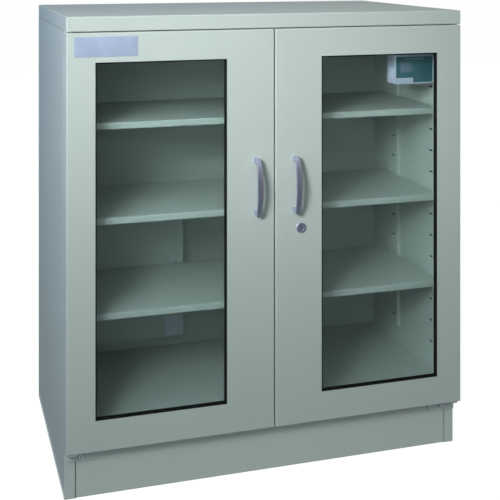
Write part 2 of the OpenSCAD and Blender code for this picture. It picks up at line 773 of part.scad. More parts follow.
// Inner pan: rear sheet, window reveal and the foot that holds the glazing section.
module door_pan() difference() {
    union() {
        box([door_x0 + sheet, door_back_y - sheet, door_z0 + sheet],
            [door_x1 - sheet, door_back_y, door_z1 - sheet]);
        ring([win_x0 - reveal_out - sheet, gasket_y1, win_z0 - reveal_out - sheet],
            [win_x1 + reveal_out + sheet, door_back_y, win_z1 + reveal_out + sheet],
            foot_w + sheet);
    }
    box([win_x0 - reveal_out, gasket_y1 + sheet, win_z0 - reveal_out],
        [win_x1 + reveal_out, door_back_y + eps, win_z1 + reveal_out]);
}

module glass() box([win_x0 + gasket_w - gasket_bite, glass_y, win_z0 + gasket_w - gasket_bite],
    [win_x1 - gasket_w + gasket_bite, glass_y + glass_t, win_z1 - gasket_w + gasket_bite]);

module glazing() difference() {
    ring([win_x0, gasket_y0, win_z0], [win_x1, gasket_y1, win_z1], gasket_w);
    glass();
}

// Seal on the back of the door: a base strip and a narrower bulb.
module door_seal() let (
    x0 = door_x0 - 0.7, x1 = door_x1 - seal_in, z0 = door_z0 + seal_in_z, z1 = door_z1 - seal_in_z
) {
    ring([x0, door_back_y, z0], [x1, door_back_y + seal_t / 2, z1], seal_w);
    ring([x0 + 2, door_back_y + seal_t / 2, z0 + 2],
        [x1 - 2, door_back_y + seal_t, z1 - 2], seal_w - 4);
}

// Bush in the door's lower edge: flange on the bracket's leg, body up into the door.
module hinge_bush() difference() {
    union() {
        rod_z(pin_x, pin_y, bush_flange_d, door_z0 - bush_flange_t, door_z0);
        rod_z(pin_x, pin_y, bush_d, door_z0, door_z0 + pin_l + 3);
    }
    rod_z(pin_x, pin_y, pin_d, door_z0 - bush_flange_t - eps, door_z0 + pin_l + 1);
}

module hinge_bushes() {
    hinge_bush();
    at_door_top() hinge_bush();
}

// The shape upside down at the door's upper edge.
module at_door_top() translate([0, 0, door_z0 + door_z1]) mirror([0, 0, 1]) children();

// Bow handle: an arch between two big cylinders, its sides curved outwards.
module handle() let (
    y0 = front_y - handle_reach,
    zc = handle_z,
    side_c = handle_side_r - handle_mid_w / 2
) difference() {
    intersection() {
        box([handle_x - handle_mid_w, y0 - eps, zc - handle_l / 2],
            [handle_x + handle_mid_w, front_y, zc + handle_l / 2]);
        translate([handle_x - handle_mid_w, y0 + handle_r, zc]) rotate([0, 90, 0])
            cylinder(r = handle_r, h = 2 * handle_mid_w, $fn = 96);
        rod_y(handle_x + side_c, zc, 2 * handle_side_r, y0 - 1, front_y + 1, $fn = 96);
        rod_y(handle_x - side_c, zc, 2 * handle_side_r, y0 - 1, front_y + 1, $fn = 96);
    }
    intersection() {
        translate([handle_x - handle_mid_w - 1, y0 + handle_r, zc]) rotate([0, 90, 0])
            cylinder(r = handle_r - handle_t, h = 2 * handle_mid_w + 2, $fn = 96);
        box([handle_x - handle_mid_w - 1, y0, zc - handle_l / 2 + handle_foot],
            [handle_x + handle_mid_w + 1, front_y + eps, zc + handle_l / 2 - handle_foot]);
    }
    for (s = [-1, 1]) rod_y(handle_x, zc + s * handle_screw_z, handle_screw_d,
        front_y - 9, front_y + eps);
}

module handle_screws() for (s = [-1, 1]) {
    rod_y(handle_x, handle_z + s * handle_screw_z, handle_screw_d - 0.1,
        front_y - 8, front_y + sheet);
    rod_y(handle_x, handle_z + s * handle_screw_z, handle_head_d,
        front_y + sheet, front_y + sheet + 2.4);
}

// ---------------------------------------------------------------- lock and bolt

module lock_bore(d) rod_y(lock_x, lock_z, d, front_y - lock_face_t - eps, door_back_y + 20);

module lock_barrel() color("silver") difference() {
    union() {
        rod_y(lock_x, lock_z, lock_face_d, front_y - lock_face_t, front_y);
        rod_y(lock_x, lock_z, lock_barrel_d, front_y, barrel_y1);
    }
    lock_bore(plug_d);
}

module lock_nut() color("silver") difference() {
    translate([lock_x, door_back_y + nut_t, lock_z]) rotate([90, 0, 0])
        cylinder(d = lock_barrel_d + 9, h = nut_t, $fn = 6);
    lock_bore(lock_barrel_d);
}

// Turning plug with its key slot and a square end for the cam.
module lock_plug() color("lightgray") difference() {
    union() {
        rod_y(lock_x, lock_z, plug_d - 2 * pin_fit, front_y - lock_face_t + 0.5, cam_y);
        box([lock_x - 3, cam_y - 0.1, lock_z - 3], [lock_x + 3, cam_y + cam_t, lock_z + 3]);
    }
    box([lock_x - 0.7, front_y - lock_face_t, lock_z - 4],
        [lock_x + 0.7, front_y + 9, lock_z + 4]);
    rod_y(lock_x, lock_z, 3, cam_y - 6, cam_y + cam_t + eps);
}

// Cam hanging down when unlocked; it turns towards the left door.
module lock_cam() color("silver") difference() {
    union() {
        rod_y(lock_x, lock_z, cam_w, cam_y, cam_y + cam_t);
        box([lock_x - cam_w / 2, cam_y, lock_z - cam_l], [lock_x + cam_w / 2, cam_y + cam_t, lock_z]);
    }
    box([lock_x - 3, cam_y - eps, lock_z - 3], [lock_x + 3, cam_y + cam_t + eps, lock_z + 3]);
}

module cam_screw() color("silver") {
    rod_y(lock_x, lock_z, 2.9, cam_y - 5, cam_y + cam_t);
    rod_y(lock_x, lock_z, 9, cam_y + cam_t, cam_y + cam_t + 2);
}

// Keeper on the left door: foot, web and the plate that the cam turns in front of.
module lock_keeper() color("silver") let (
    y1 = cam_y + cam_t + 0.6 + keeper_t,
    x = door_x0 + 28
) mirror([1, 0, 0]) translate([0, 0, lock_z - keeper_h / 2]) linear_extrude(keeper_h) polygon([
    [x + 16, door_back_y], [x + 16, door_back_y + keeper_t], [x + keeper_t, door_back_y + keeper_t],
    [x + keeper_t, y1], [door_x0 + 6, y1], [door_x0 + 6, y1 - keeper_t], [x, y1 - keeper_t],
    [x, door_back_y]
]);

// Guide on the back of the left door, with a bore for the bolt and a slot for its knob.
module bolt_guide() color("silver") difference() {
    box([-bolt_x - 10, door_back_y, guide_z], [-bolt_x + 10, bolt_y + 6, guide_z + guide_h]);
    rod_z(-bolt_x, bolt_y, bolt_d, guide_z - eps, bolt_z1);
    box([-bolt_x - knob_r - seat_gap, bolt_y, knob_z - knob_r - 2 * seat_gap],
        [-bolt_x + knob_r + seat_gap, bolt_y + 7, knob_z + knob_r + bolt_travel + 2 * seat_gap]);
}

module door_bolt() color("gainsboro") {
    rod_z(-bolt_x, bolt_y, bolt_d - 2 * pin_fit, bolt_z1 - bolt_l, bolt_z1);
    rod_y(-bolt_x, knob_z, 2 * knob_r, bolt_y, bolt_y + 7);
    rod_y(-bolt_x, knob_z, 2 * knob_r + 3, bolt_y + 6.5, bolt_y + 9);
}

module door_skin_right() color("honeydew") difference() {
    door_skin();
    lock_bore(lock_barrel_d);
}
module door_pan_right() color("gainsboro") difference() {
    door_pan();
    lock_bore(lock_barrel_d);
}
module glass_right() color("powderblue", 0.35) glass();
module glazing_right() color("black") glazing();
module door_seal_right() color("whitesmoke") door_seal();
module hinge_bushes_right() color("white") hinge_bushes();
module handle_right() color("silver") handle();
module handle_screws_right() color("silver") handle_screws();

module door_skin_left() color("honeydew") mirror([1, 0, 0]) door_skin();
module door_pan_left() color("gainsboro") mirror([1, 0, 0]) door_pan();
module glass_left() color("powderblue", 0.35) mirror([1, 0, 0]) glass();
module glazing_left() color("black") mirror([1, 0, 0]) glazing();
module door_seal_left() color("whitesmoke") mirror([1, 0, 0]) door_seal();
module hinge_bushes_left() color("white") mirror([1, 0, 0]) hinge_bushes();
module handle_left() color("silver") mirror([1, 0, 0]) handle();
module handle_screws_left() color("silver") mirror([1, 0, 0]) handle_screws();

// ---------------------------------------------------------------- dry unit

// Front cover, open at the back, with air slots in its top and bottom.
module dry_cover() color("gainsboro") difference() {
    bent_box([dry_x0, dry_y, dry_z0], [dry_x1, liner_y + 2 * bend_r, dry_z0 + dry_h]);
    box([dry_x0 - eps, liner_y, dry_z0 - eps], [dry_x1 + eps, back_y, dry_z0 + dry_h + eps]);
    box([dry_x0 + sheet, dry_y + sheet, dry_z0 + sheet],
        [dry_x1 - sheet, liner_y + eps, dry_z0 + dry_h - sheet]);
    for (i = [0:2 * (port_x - dry_x0 - fold_d - air_slot_w) / air_pitch]) let (
        x = dry_x0 + 2 * fold_d + i * air_pitch
    ) box([x, dry_y + fold_d, dry_z0 - eps],
        [x + air_slot_w, liner_y - fold_d, dry_z0 + dry_h + eps]);
    for (x = dry_screw_x)
        rod_y(x, dry_screw_z, dry_screw_d + 1.2, dry_y - eps, dry_y + sheet + eps);
}

// Air slots through a plate facing Y; shift moves them along X.
module air_row(y0, y1, shift) for (i = [0:air_slots - 1]) let (
    x = port_x + shift + (i - (air_slots - 1) / 2) * air_pitch
) box([x - air_slot_w / 2, y0, port_z0], [x + air_slot_w / 2, y1, port_z1]);

// Rails above and below a shutter plate, from y0 to y1.
module shutter_rails(y0, y1) {
    box([core_x0 + 4, y0, port_z0 - shutter_lap - 4], [core_x1 - 4, y1, port_z0 - shutter_lap]);
    box([core_x0 + 4, y0, port_z1 + shutter_lap], [core_x1 - 4, y1, port_z1 + shutter_lap + 4]);
}

// Chamber through the back wall: slotted front and rear walls, closed sides.
module dry_chamber() color("silver") {
    difference() {
        box([core_x0, core_y0, core_z0], [core_x1, core_y1, core_z1]);
        box([core_x0 + sheet, core_y0 + sheet, core_z0 + sheet],
            [core_x1 - sheet, core_y1 - sheet, core_z1 - sheet]);
        air_row(core_y0 - eps, core_y0 + sheet + eps, 0);
        air_row(core_y1 - sheet - eps, core_y1 + eps, shutter_travel);
    }
    shutter_rails(core_y0 - shutter_t - 1, core_y0 + sheet / 2);
    shutter_rails(core_y1 - sheet / 2, core_y1 + shutter_t + 1);
    // Flange on the back wall, with tongues for the solenoid and the right-hand post
    difference() {
        box([dry_x0 + sheet + 1, liner_y - sheet, core_z0 - fold_d],
            [dry_x1 - sheet - 1, liner_y, core_z1 + fold_d]);
        difference() {
            box([core_x0 + sheet / 2, liner_y - 2 * sheet, core_z0 + sheet / 2],
                [dry_x1 - 8, liner_y + eps, core_z1 - sheet / 2]);
            box([coil_x, liner_y - 2 * sheet, yoke_z - coil_d / 2],
                [dry_x1, liner_y + 2 * eps, yoke_z + coil_d / 2]);
            box([dry_screw_x[1] - 8, liner_y - 2 * sheet, dry_screw_z - fold_d],
                [dry_x1, liner_y + 2 * eps, dry_screw_z + fold_d]);
        }
    }
    // Posts for the cover's screws
    for (i = [0, 1]) difference() {
        rod_y(dry_screw_x[i], dry_screw_z, dry_head_d, dry_y + sheet,
            i == 0 ? core_y0 + sheet / 2 : liner_y - sheet / 2);
        rod_y(dry_screw_x[i], dry_screw_z, dry_screw_d + 0.2, dry_y + sheet - eps,
            dry_y + dry_screw_l + 2);
    }
}

module dry_screws() color("dimgray") for (x = dry_screw_x) {
    rod_y(x, dry_screw_z, dry_screw_d, dry_y, dry_y + dry_screw_l);
    rod_y(x, dry_screw_z, dry_head_d, dry_y - dry_head_t, dry_y);
}

module desiccant_cassette() color("burlywood") difference() {
    box([core_x0 + sheet + 4, core_y0 + 8, core_z0 + sheet],
        [core_x1 - sheet - 4, core_y1 - 8, core_z1 - cassette_gap]);
    for (i = [-1:1]) rod_z(port_x + i * heater_pitch, heater_y, heater_d + 0.4,
        core_z0 + fold_d, core_z1);
}

// Three rods in the cassette, hung from a terminal bar under the chamber's top.
module heater() color("dimgray") let (z = core_z1 - sheet - heater_bar) {
    for (i = [-1:1]) rod_z(port_x + i * heater_pitch, heater_y, heater_d,
        core_z0 + fold_d + 2, z + heater_bar / 2);
    box([port_x - heater_pitch - heater_d, heater_y - heater_d, z],
        [port_x + heater_pitch + heater_d, heater_y + heater_d, z + heater_bar]);
}

// Two slotted plates joined by a yoke round the chamber's right side. At rest the
// front slots are open to the cabinet and the rear slots are shut.
module shutter() color("gainsboro") let (
    y0 = core_y0 - shutter_t - shutter_gap,
    y1 = core_y1 + shutter_gap,
    x0 = core_x0 + shutter_in,
    x1 = core_x1 - shutter_in - shutter_travel,
    z0 = port_z0 - shutter_lap + shutter_gap,
    z1 = port_z1 + shutter_lap - shutter_gap,
    t = shutter_t
) {
    for (y = [y0, y1]) difference() {
        box([x0, y, z0], [x1, y + t, z1]);
        air_row(y - eps, y + t + eps, 0);
    }
    translate([0, 0, yoke_z - yoke_h / 2]) linear_extrude(yoke_h) polygon([
        [x1 - 1, y0], [yoke_x, y0], [yoke_x, y1 + t], [x1 - 1, y1 + t], [x1 - 1, y1],
        [yoke_x - t, y1], [yoke_x - t, y0 + t], [x1 - 1, y0 + t]
    ]);
    translate([yoke_x - t / 2, liner_y - coil_y, yoke_z]) rotate([0, 90, 0])
        cylinder(d = pull_d - 2 * pin_fit, h = pull_l + t / 2);
}

// Solenoid beside the chamber, on a foot that stands on the flange's tongue.
module solenoid() color("darkgoldenrod") difference() {
    union() {
        translate([coil_x, liner_y - coil_y, yoke_z]) rotate([0, 90, 0])
            cylinder(d = coil_d, h = coil_l);
        box([coil_x, liner_y - coil_y, yoke_z - coil_d / 2 + 2],
            [coil_x + coil_l, liner_y - sheet, yoke_z + coil_d / 2 - 2]);
    }
    translate([coil_x - eps, liner_y - coil_y, yoke_z]) rotate([0, 90, 0])
        cylinder(d = pull_d, h = coil_l - 2 + eps);
}

// ---------------------------------------------------------------- hygrometer, inlet

// Case with a rounded outline and a raised pad with a hole in its left side.
module hygrometer_case() color("lavender") difference() {
    union() {
        round_y([hygro_x0, hygro_y + hygro_face_t, hygro_z0], [hygro_x1, hygro_y + hygro_d, hygro_z1], 3);
        box([hygro_x0 - 1, hygro_y + 14, hygro_z0 + 12], [hygro_x0, hygro_y + 26, hygro_z0 + 36]);
    }
    translate([hygro_x0 - 2, hygro_y + 20, hygro_z0 + 18]) rotate([0, 90, 0])
        cylinder(d = 4, h = 8);
    for (i = [0:5]) box([hygro_x0 + 26 + i * 9, hygro_y + 8, hygro_z0 - eps],
        [hygro_x0 + 29 + i * 9, hygro_y + hygro_d - 8, hygro_z0 + 3]);
}

// Face: bezel, dark panel step and the window of the display.
module hygrometer_face() color("teal") difference() {
    round_y([hygro_x0, hygro_y, hygro_z0], [hygro_x1, hygro_y + hygro_face_t, hygro_z1], 3);
    box([hygro_x0 + lcd_x, hygro_y - eps, hygro_z1 - lcd_top - lcd_h],
        [hygro_x0 + lcd_x + lcd_w, hygro_y + hygro_face_t / 2, hygro_z1 - lcd_top]);
}

// Angle from the side liner behind the case, hooked into a slot's height.
module hygrometer_bracket() color("silver") fold_z([
    [hygro_x0 + 20, hygro_y + hygro_d], [liner_x, hygro_y + hygro_d],
    [liner_x, hygro_y + hygro_d + 30]
], sheet, hygro_z0 + 10, hygro_z1 - 10);

// Recess with two cut corners and three flat blades, flanged behind the back panel.
module mains_inlet() color("black") let (
    x0 = inlet_x - inlet_w / 2,
    x1 = inlet_x + inlet_w / 2,
    z0 = inlet_z - inlet_h / 2,
    z1 = inlet_z + inlet_h / 2
) {
    difference() {
        union() {
            box([x0 - inlet_wall, back_y - inlet_d - inlet_wall, z0 - inlet_wall],
                [x1 + inlet_wall, back_y, z1 + inlet_wall]);
            box([x0 - 12, panel_y - 2, z0 - 5], [x1 + 12, panel_y, z1 + 5]);
        }
        translate([0, back_y + eps, 0]) rotate([90, 0, 0]) linear_extrude(inlet_d + eps)
            polygon([[x0, z0], [x1, z0], [x1, z1 - 5], [x1 - 5, z1], [x0 + 5, z1], [x0, z1 - 5]]);
    }
    for (p = [[-7, -1.5], [0, 2.5], [7, -1.5]])
        box([inlet_x + p.x - 1, back_y - inlet_d - eps, inlet_z + p.y - 2],
            [inlet_x + p.x + 1, back_y - 5, inlet_z + p.y + 2]);
}

top_cap();
side_panel_left();
side_panel_right();
side_liner_left();
side_liner_right();
back_liner();
back_panel();
ceiling_pan();
floor_pan();
kick_plate();
base_rails();
rear_uprights();
shelf_clips();
shelf_lower();
shelf_middle();
shelf_upper();
hinge_bracket_bottom_left();
hinge_bracket_bottom_right();
hinge_bracket_top_left();
hinge_bracket_top_right();
hinge_pins();
bracket_screws();
door_skin_left();
door_pan_left();
glass_left();
glazing_left();
door_seal_left();
hinge_bushes_left();
handle_left();
handle_screws_left();
lock_keeper();
bolt_guide();
door_skin_right();
door_pan_right();
glass_right();
glazing_right();
door_seal_right();
hinge_bushes_right();
handle_right();
handle_screws_right();
lock_barrel();
lock_nut();
lock_plug();
lock_cam();
cam_screw();
door_bolt();
dry_cover();
dry_chamber();
desiccant_cassette();
heater();
shutter();
solenoid();
dry_screws();
hygrometer_case();
hygrometer_face();
hygrometer_bracket();
mains_inlet();
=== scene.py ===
"""Finishes, seals, small fittings, light and camera for a desiccator cabinet.

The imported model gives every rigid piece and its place. This script gives each of them
a procedural finish, replaces the pieces whose edges need more than flat facets, adds
the plates and the display, and lights the whole. All lengths are in metres in the
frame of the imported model: +Z up, doors facing -Y, the origin on the floor.
"""

import logging
import math
from dataclasses import dataclass, field
from enum import Enum
from typing import Any, Callable, Sequence

import bmesh
import bpy
import numpy as np
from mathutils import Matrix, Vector


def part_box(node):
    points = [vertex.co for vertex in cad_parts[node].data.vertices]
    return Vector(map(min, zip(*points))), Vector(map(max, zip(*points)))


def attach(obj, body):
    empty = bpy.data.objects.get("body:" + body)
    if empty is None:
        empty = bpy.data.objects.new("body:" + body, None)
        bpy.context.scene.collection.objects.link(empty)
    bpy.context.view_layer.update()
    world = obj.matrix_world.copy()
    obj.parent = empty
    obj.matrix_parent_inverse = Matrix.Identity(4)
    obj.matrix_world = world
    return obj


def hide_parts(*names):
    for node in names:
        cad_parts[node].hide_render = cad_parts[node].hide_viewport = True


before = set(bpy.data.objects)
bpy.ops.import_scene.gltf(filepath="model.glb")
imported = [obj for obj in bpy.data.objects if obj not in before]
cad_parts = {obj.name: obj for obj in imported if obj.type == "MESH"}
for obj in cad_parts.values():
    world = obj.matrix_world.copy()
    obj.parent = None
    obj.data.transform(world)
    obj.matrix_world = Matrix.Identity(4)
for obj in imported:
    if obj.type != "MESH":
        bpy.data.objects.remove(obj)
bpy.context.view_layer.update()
LOG = logging.getLogger("cabinet")

MM = 0.001
WELD = 1e-6
SPECK = 1e-7
FLAT_ANGLE = 1.0
CENTRE_GAP = 1e-5
Colour = tuple[float, float, float]


class Side(Enum):
    """The two doors, with the sign of X on which each one hangs."""

    LEFT = -1
    RIGHT = 1

    @property
    def word(self) -> str:
        """The ending that this side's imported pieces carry."""
        return self.name.lower()


class Grain(Enum):
    """Direction in which a metal was brushed, as the stretch of its scratches."""

    ALONG_X = (0.02, 1.0, 1.0)
    ALONG_Z = (1.0, 1.0, 0.02)
    ROUND = (1.0, 1.0, 1.0)


def srgb(red: float, green: float, blue: float) -> Colour:
    """Turn a colour in 0 to 255 display values into linear values.

    Args:
        red: display value of red.
        green: display value of green.
        blue: display value of blue.

    Returns:
        The linear colour.
    """
    def linear(value: float) -> float:
        """The display curve undone for one value in 0 to 1."""
        return value / 12.92 if value <= 0.04045 else ((value + 0.055) / 1.055) ** 2.4

    return linear(red / 255), linear(green / 255), linear(blue / 255)


# ------------------------------------------------------------------ shader groups


class Graph:
    """Short way to put nodes into a material, world or node group."""

    def __init__(self, tree: bpy.types.NodeTree) -> None:
        """Keep the tree that the nodes go into."""
        self.tree = tree

    def node(self, kind: str, **settings: Any) -> bpy.types.Node:
        """Add one node.

        Args:
            kind: Blender's name of the node type.
            **settings: attributes of the node; a key that names an input, with
                spaces as underscores, sets that input or links a socket to it.

        Returns:
            The new node.
        """
        new = self.tree.nodes.new(kind)
        for key, value in settings.items():
            if hasattr(new, key):
                setattr(new, key, value)
        for key, value in settings.items():
            if not hasattr(new, key):
                self.feed(new, key.replace("_", " "), value)
        return new

    def feed(self, node: bpy.types.Node, socket: Any, value: Any) -> None:
        """Set an input of a node to a value, or link a socket to it.

        Args:
            node: the node that takes the value.
            socket: name or number of its input.
            value: a number, a colour or an output socket.
        """
        target = node.inputs[socket]
        if isinstance(value, bpy.types.NodeSocket):
            self.tree.links.new(value, target)
        elif isinstance(value, tuple) and len(value) == 3 and target.type == "RGBA":
            target.default_value = (*value, 1.0)
        else:
            target.default_value = value

    def maths(self, operation: str, *values: Any) -> bpy.types.NodeSocket:
        """Add a Math node and return its result.

        Args:
            operation: Blender's name of the operation.
            *values: numbers or sockets, in the order of the node's inputs.

        Returns:
            The node's output.
        """
        new = self.tree.nodes.new("ShaderNodeMath")
        new.operation = operation
        for number, value in enumerate(values):
            self.feed(new, number, value)
        return new.outputs[0]

    def span(self, value: Any, low: float, high: float, out_low: float = 0.0,
             out_high: float = 1.0) -> bpy.types.NodeSocket:
        """Map a value from one range to another with a smooth, clamped step.

        Args:
            value: the socket to map.
            low: value that gives out_low.
            high: value that gives out_high.
            out_low: result at the low end.
            out_high: result at the high end.

        Returns:
            The mapped value.
        """
        new = self.tree.nodes.new("ShaderNodeMapRange")
        new.interpolation_type = "SMOOTHSTEP"
        for number, number_value in enumerate((value, low, high, out_low, out_high)):
            self.feed(new, number, number_value)
        return new.outputs[0]


def make_group(name: str, inputs: dict[str, float], outputs: Sequence[str],
               wire: Callable[[Graph, bpy.types.Node, bpy.types.Node], None]
               ) -> bpy.types.NodeTree:
    """Build a shader node group once.

    Args:
        name: name of the group.
        inputs: its float inputs with their usual values.
        outputs: names of its float outputs.
        wire: function that fills the group between its input and output nodes.

    Returns:
        The node group.
    """
    tree = bpy.data.node_groups.new(name, "ShaderNodeTree")
    for key, value in inputs.items():
        socket = tree.interface.new_socket(key, in_out="INPUT", socket_type="NodeSocketFloat")
        socket.default_value = value
    for key in outputs:
        tree.interface.new_socket(key, in_out="OUTPUT", socket_type="NodeSocketFloat")
    graph = Graph(tree)
    wire(graph, graph.node("NodeGroupInput"), graph.node("NodeGroupOutput"))
    return tree


def wire_orange_peel(graph: Graph, given: bpy.types.Node, result: bpy.types.Node) -> None:
    """Fill the group for a sprayed and baked coat.

    Height is fine noise with a slower swell under it; Tone is a slow drift of the
    coat's shade, from 0 to 1.
    """
    place = graph.node("ShaderNodeTexCoord").outputs["Object"]
    fine = graph.node("ShaderNodeTexNoise", Vector=place, Scale=given.outputs["Scale"],
                      Detail=2.0, Roughness=0.45)
    swell = graph.node("ShaderNodeTexNoise", Vector=place, Scale=60.0, Detail=1.0)
    drift = graph.node("ShaderNodeTexNoise", Vector=place, Scale=3.1, Detail=3.0)
    height = graph.maths("MULTIPLY_ADD", swell.outputs[0], 0.35, fine.outputs[0])
    graph.feed(result, "Height", height)
    graph.feed(result, "Tone", graph.span(drift.outputs[0], 0.3, 0.7))


def wire_brushing(graph: Graph, given: bpy.types.Node, result: bpy.types.Node) -> None:
    """Fill the group for brushed or drawn metal.

    The place is stretched along the brushing, so that noise on it becomes
    scratches: Height is their depth and Streak a slower, paler banding.
    """
    place = graph.node("ShaderNodeTexCoord").outputs["Object"]
    stretch = graph.node("ShaderNodeCombineXYZ", X=given.outputs["Stretch X"],
                         Y=given.outputs["Stretch Y"], Z=given.outputs["Stretch Z"])
    drawn = graph.node("ShaderNodeVectorMath", operation="MULTIPLY")
    graph.feed(drawn, 0, place)
    graph.feed(drawn, 1, stretch.outputs[0])
    fine = graph.node("ShaderNodeTexNoise", Vector=drawn.outputs[0], Scale=2400.0, Detail=3.0)
    slow = graph.node("ShaderNodeTexNoise", Vector=drawn.outputs[0], Scale=260.0, Detail=2.0)
    graph.feed(result, "Height", fine.outputs[0])
    graph.feed(result, "Streak", graph.span(slow.outputs[0], 0.35, 0.65))


def wire_handling(graph: Graph, given: bpy.types.Node, result: bpy.types.Node) -> None:
    """Fill the group for the faint marks that wiping and hands leave.

    Mark runs from 0 to 1 in soft, overlapping patches cut by wiped streaks.
    """
    place = graph.node("ShaderNodeTexCoord").outputs["Object"]
    patch = graph.node("ShaderNodeTexNoise", Vector=place, Scale=given.outputs["Scale"],
                       Detail=4.0, Roughness=0.6, Distortion=0.6)
    wipe = graph.node("ShaderNodeTexNoise", Vector=graph.node(
        "ShaderNodeMapping", Vector=place, Rotation=(0.0, 0.5, 0.0),
        Scale=(6.0, 6.0, 60.0)).outputs[0], Scale=1.0, Detail=3.0)
    both = graph.maths("MULTIPLY", graph.span(patch.outputs[0], 0.42, 0.7),
                       graph.span(wipe.outputs[0], 0.3, 0.75))
    graph.feed(result, "Mark", both)


def wire_settling(graph: Graph, given: bpy.types.Node, result: bpy.types.Node) -> None:
    """Fill the group for the thin dust that settles on level faces.

    Dust is the upward part of the surface's normal, broken up by noise.
    """
    normal = graph.node("ShaderNodeSeparateXYZ",
                        Vector=graph.node("ShaderNodeNewGeometry").outputs["Normal"])
    place = graph.node("ShaderNodeTexCoord").outputs["Object"]
    clouds = graph.node("ShaderNodeTexNoise", Vector=place, Scale=22.0, Detail=5.0)
    level = graph.span(normal.outputs["Z"], 0.75, 1.0)
    broken = graph.span(clouds.outputs[0], 0.3, 0.75, 0.25, 1.0)
    graph.feed(result, "Dust", graph.maths("MULTIPLY", graph.maths(
        "MULTIPLY", level, broken), given.outputs["Amount"]))


@dataclass(frozen=True)
class ShaderGroups:
    """The effects that several finishes share."""

    orange_peel: bpy.types.NodeTree
    brushing: bpy.types.NodeTree
    handling: bpy.types.NodeTree
    settling: bpy.types.NodeTree

    @staticmethod
    def build() -> "ShaderGroups":
        """Make each group once."""
        return ShaderGroups(
            make_group("orange_peel", {"Scale": 700.0}, ("Height", "Tone"), wire_orange_peel),
            make_group("brushing", {"Stretch X": 1.0, "Stretch Y": 1.0, "Stretch Z": 1.0},
                       ("Height", "Streak"), wire_brushing),
            make_group("handling", {"Scale": 9.0}, ("Mark",), wire_handling),
            make_group("settling", {"Amount": 1.0}, ("Dust",), wire_settling),
        )


GROUPS = ShaderGroups.build()


# ------------------------------------------------------------------ finishes


def new_material(name: str) -> tuple[bpy.types.Material, Graph, bpy.types.Node]:
    """Start a material with one Principled shader wired to its output.

    Args:
        name: the material's name.

    Returns:
        The material, its graph and the shader.
    """
    material = bpy.data.materials.new(name)
    material.use_nodes = True
    material.node_tree.nodes.clear()
    graph = Graph(material.node_tree)
    shader = graph.node("ShaderNodeBsdfPrincipled")
    graph.node("ShaderNodeOutputMaterial", Surface=shader.outputs[0])
    return material, graph, shader


def blend_colours(graph: Graph, share: Any, first: Any, second: Any
                  ) -> bpy.types.NodeSocket:
    """Mix two colours by a share from 0 to 1.

    Args:
        graph: the graph that takes the node.
        share: socket that drives the mix.
        first: colour or socket at 0.
        second: colour or socket at 1.

    Returns:
        The mixed colour.
    """
    mix = graph.node("ShaderNodeMix", data_type="RGBA")
    graph.feed(mix, 0, share)
    graph.feed(mix, 6, first)
    graph.feed(mix, 7, second)
    return mix.outputs[2]


def show_mix(graph: Graph, share: Any, first: Any, second: Any) -> None:
    """Lead a mix of two shaders to the material's output.

    Args:
        graph: the material's graph.
        share: socket that drives the mix.
        first: shader at 0.
        second: shader at 1.
    """
    mix = graph.node("ShaderNodeMixShader")
    for number, value in enumerate((share, first, second)):
        graph.feed(mix, number, value)
    output = next(n for n in graph.tree.nodes if n.type == "OUTPUT_MATERIAL")
    graph.feed(output, "Surface", mix.outputs[0])


def use_group(graph: Graph, group: bpy.types.NodeTree, **values: float) -> bpy.types.Node:
    """Place a shader group in a material.

    Args:
        graph: the material's graph.
        group: the group to place.
        **values: its inputs, with spaces as underscores.

    Returns:
        The group's node.
    """
    new = graph.tree.nodes.new("ShaderNodeGroup")
    new.node_tree = group
    for key, value in values.items():
        graph.feed(new, key.replace("_", " "), value)
    return new


def add_bump(graph: Graph, shader: bpy.types.Node, height: Any, strength: float,
             depth: float) -> None:
    """Drive a shader's normal from a height.

    Args:
        graph: the material's graph.
        shader: the shader that takes the normal.
        height: socket with the height, 0 to 1.
        strength: how much of the effect shows.
        depth: real depth of a height of 1.
    """
    bump = graph.node("ShaderNodeBump", Strength=strength, Distance=depth, Height=height)
    graph.feed(shader, "Normal", bump.outputs[0])


@dataclass(frozen=True)
class PaintFinish:
    """Baked powder coat with orange peel, a slight drift of shade and settled dust."""

    name: str
    colour: Colour
    drift: Colour
    roughness: float = 0.36
    dust: float = 0.25
    dust_colour: Colour = (0.45, 0.43, 0.39)

    def build(self) -> bpy.types.Material:
        """Make the material."""
        material, graph, shader = new_material(self.name)
        peel = use_group(graph, GROUPS.orange_peel)
        marks = use_group(graph, GROUPS.handling)
        settled = use_group(graph, GROUPS.settling, Amount=self.dust)
        sprayed = blend_colours(graph, peel.outputs["Tone"], self.colour, self.drift)
        graph.feed(shader, "Base Color", blend_colours(
            graph, settled.outputs["Dust"], sprayed, self.dust_colour))
        worn = graph.maths("MULTIPLY_ADD", marks.outputs["Mark"], 0.08, self.roughness)
        graph.feed(shader, "Roughness", graph.maths(
            "MULTIPLY_ADD", settled.outputs["Dust"], 0.3, worn))
        add_bump(graph, shader, peel.outputs["Height"], 0.12, 0.00025)
        return material


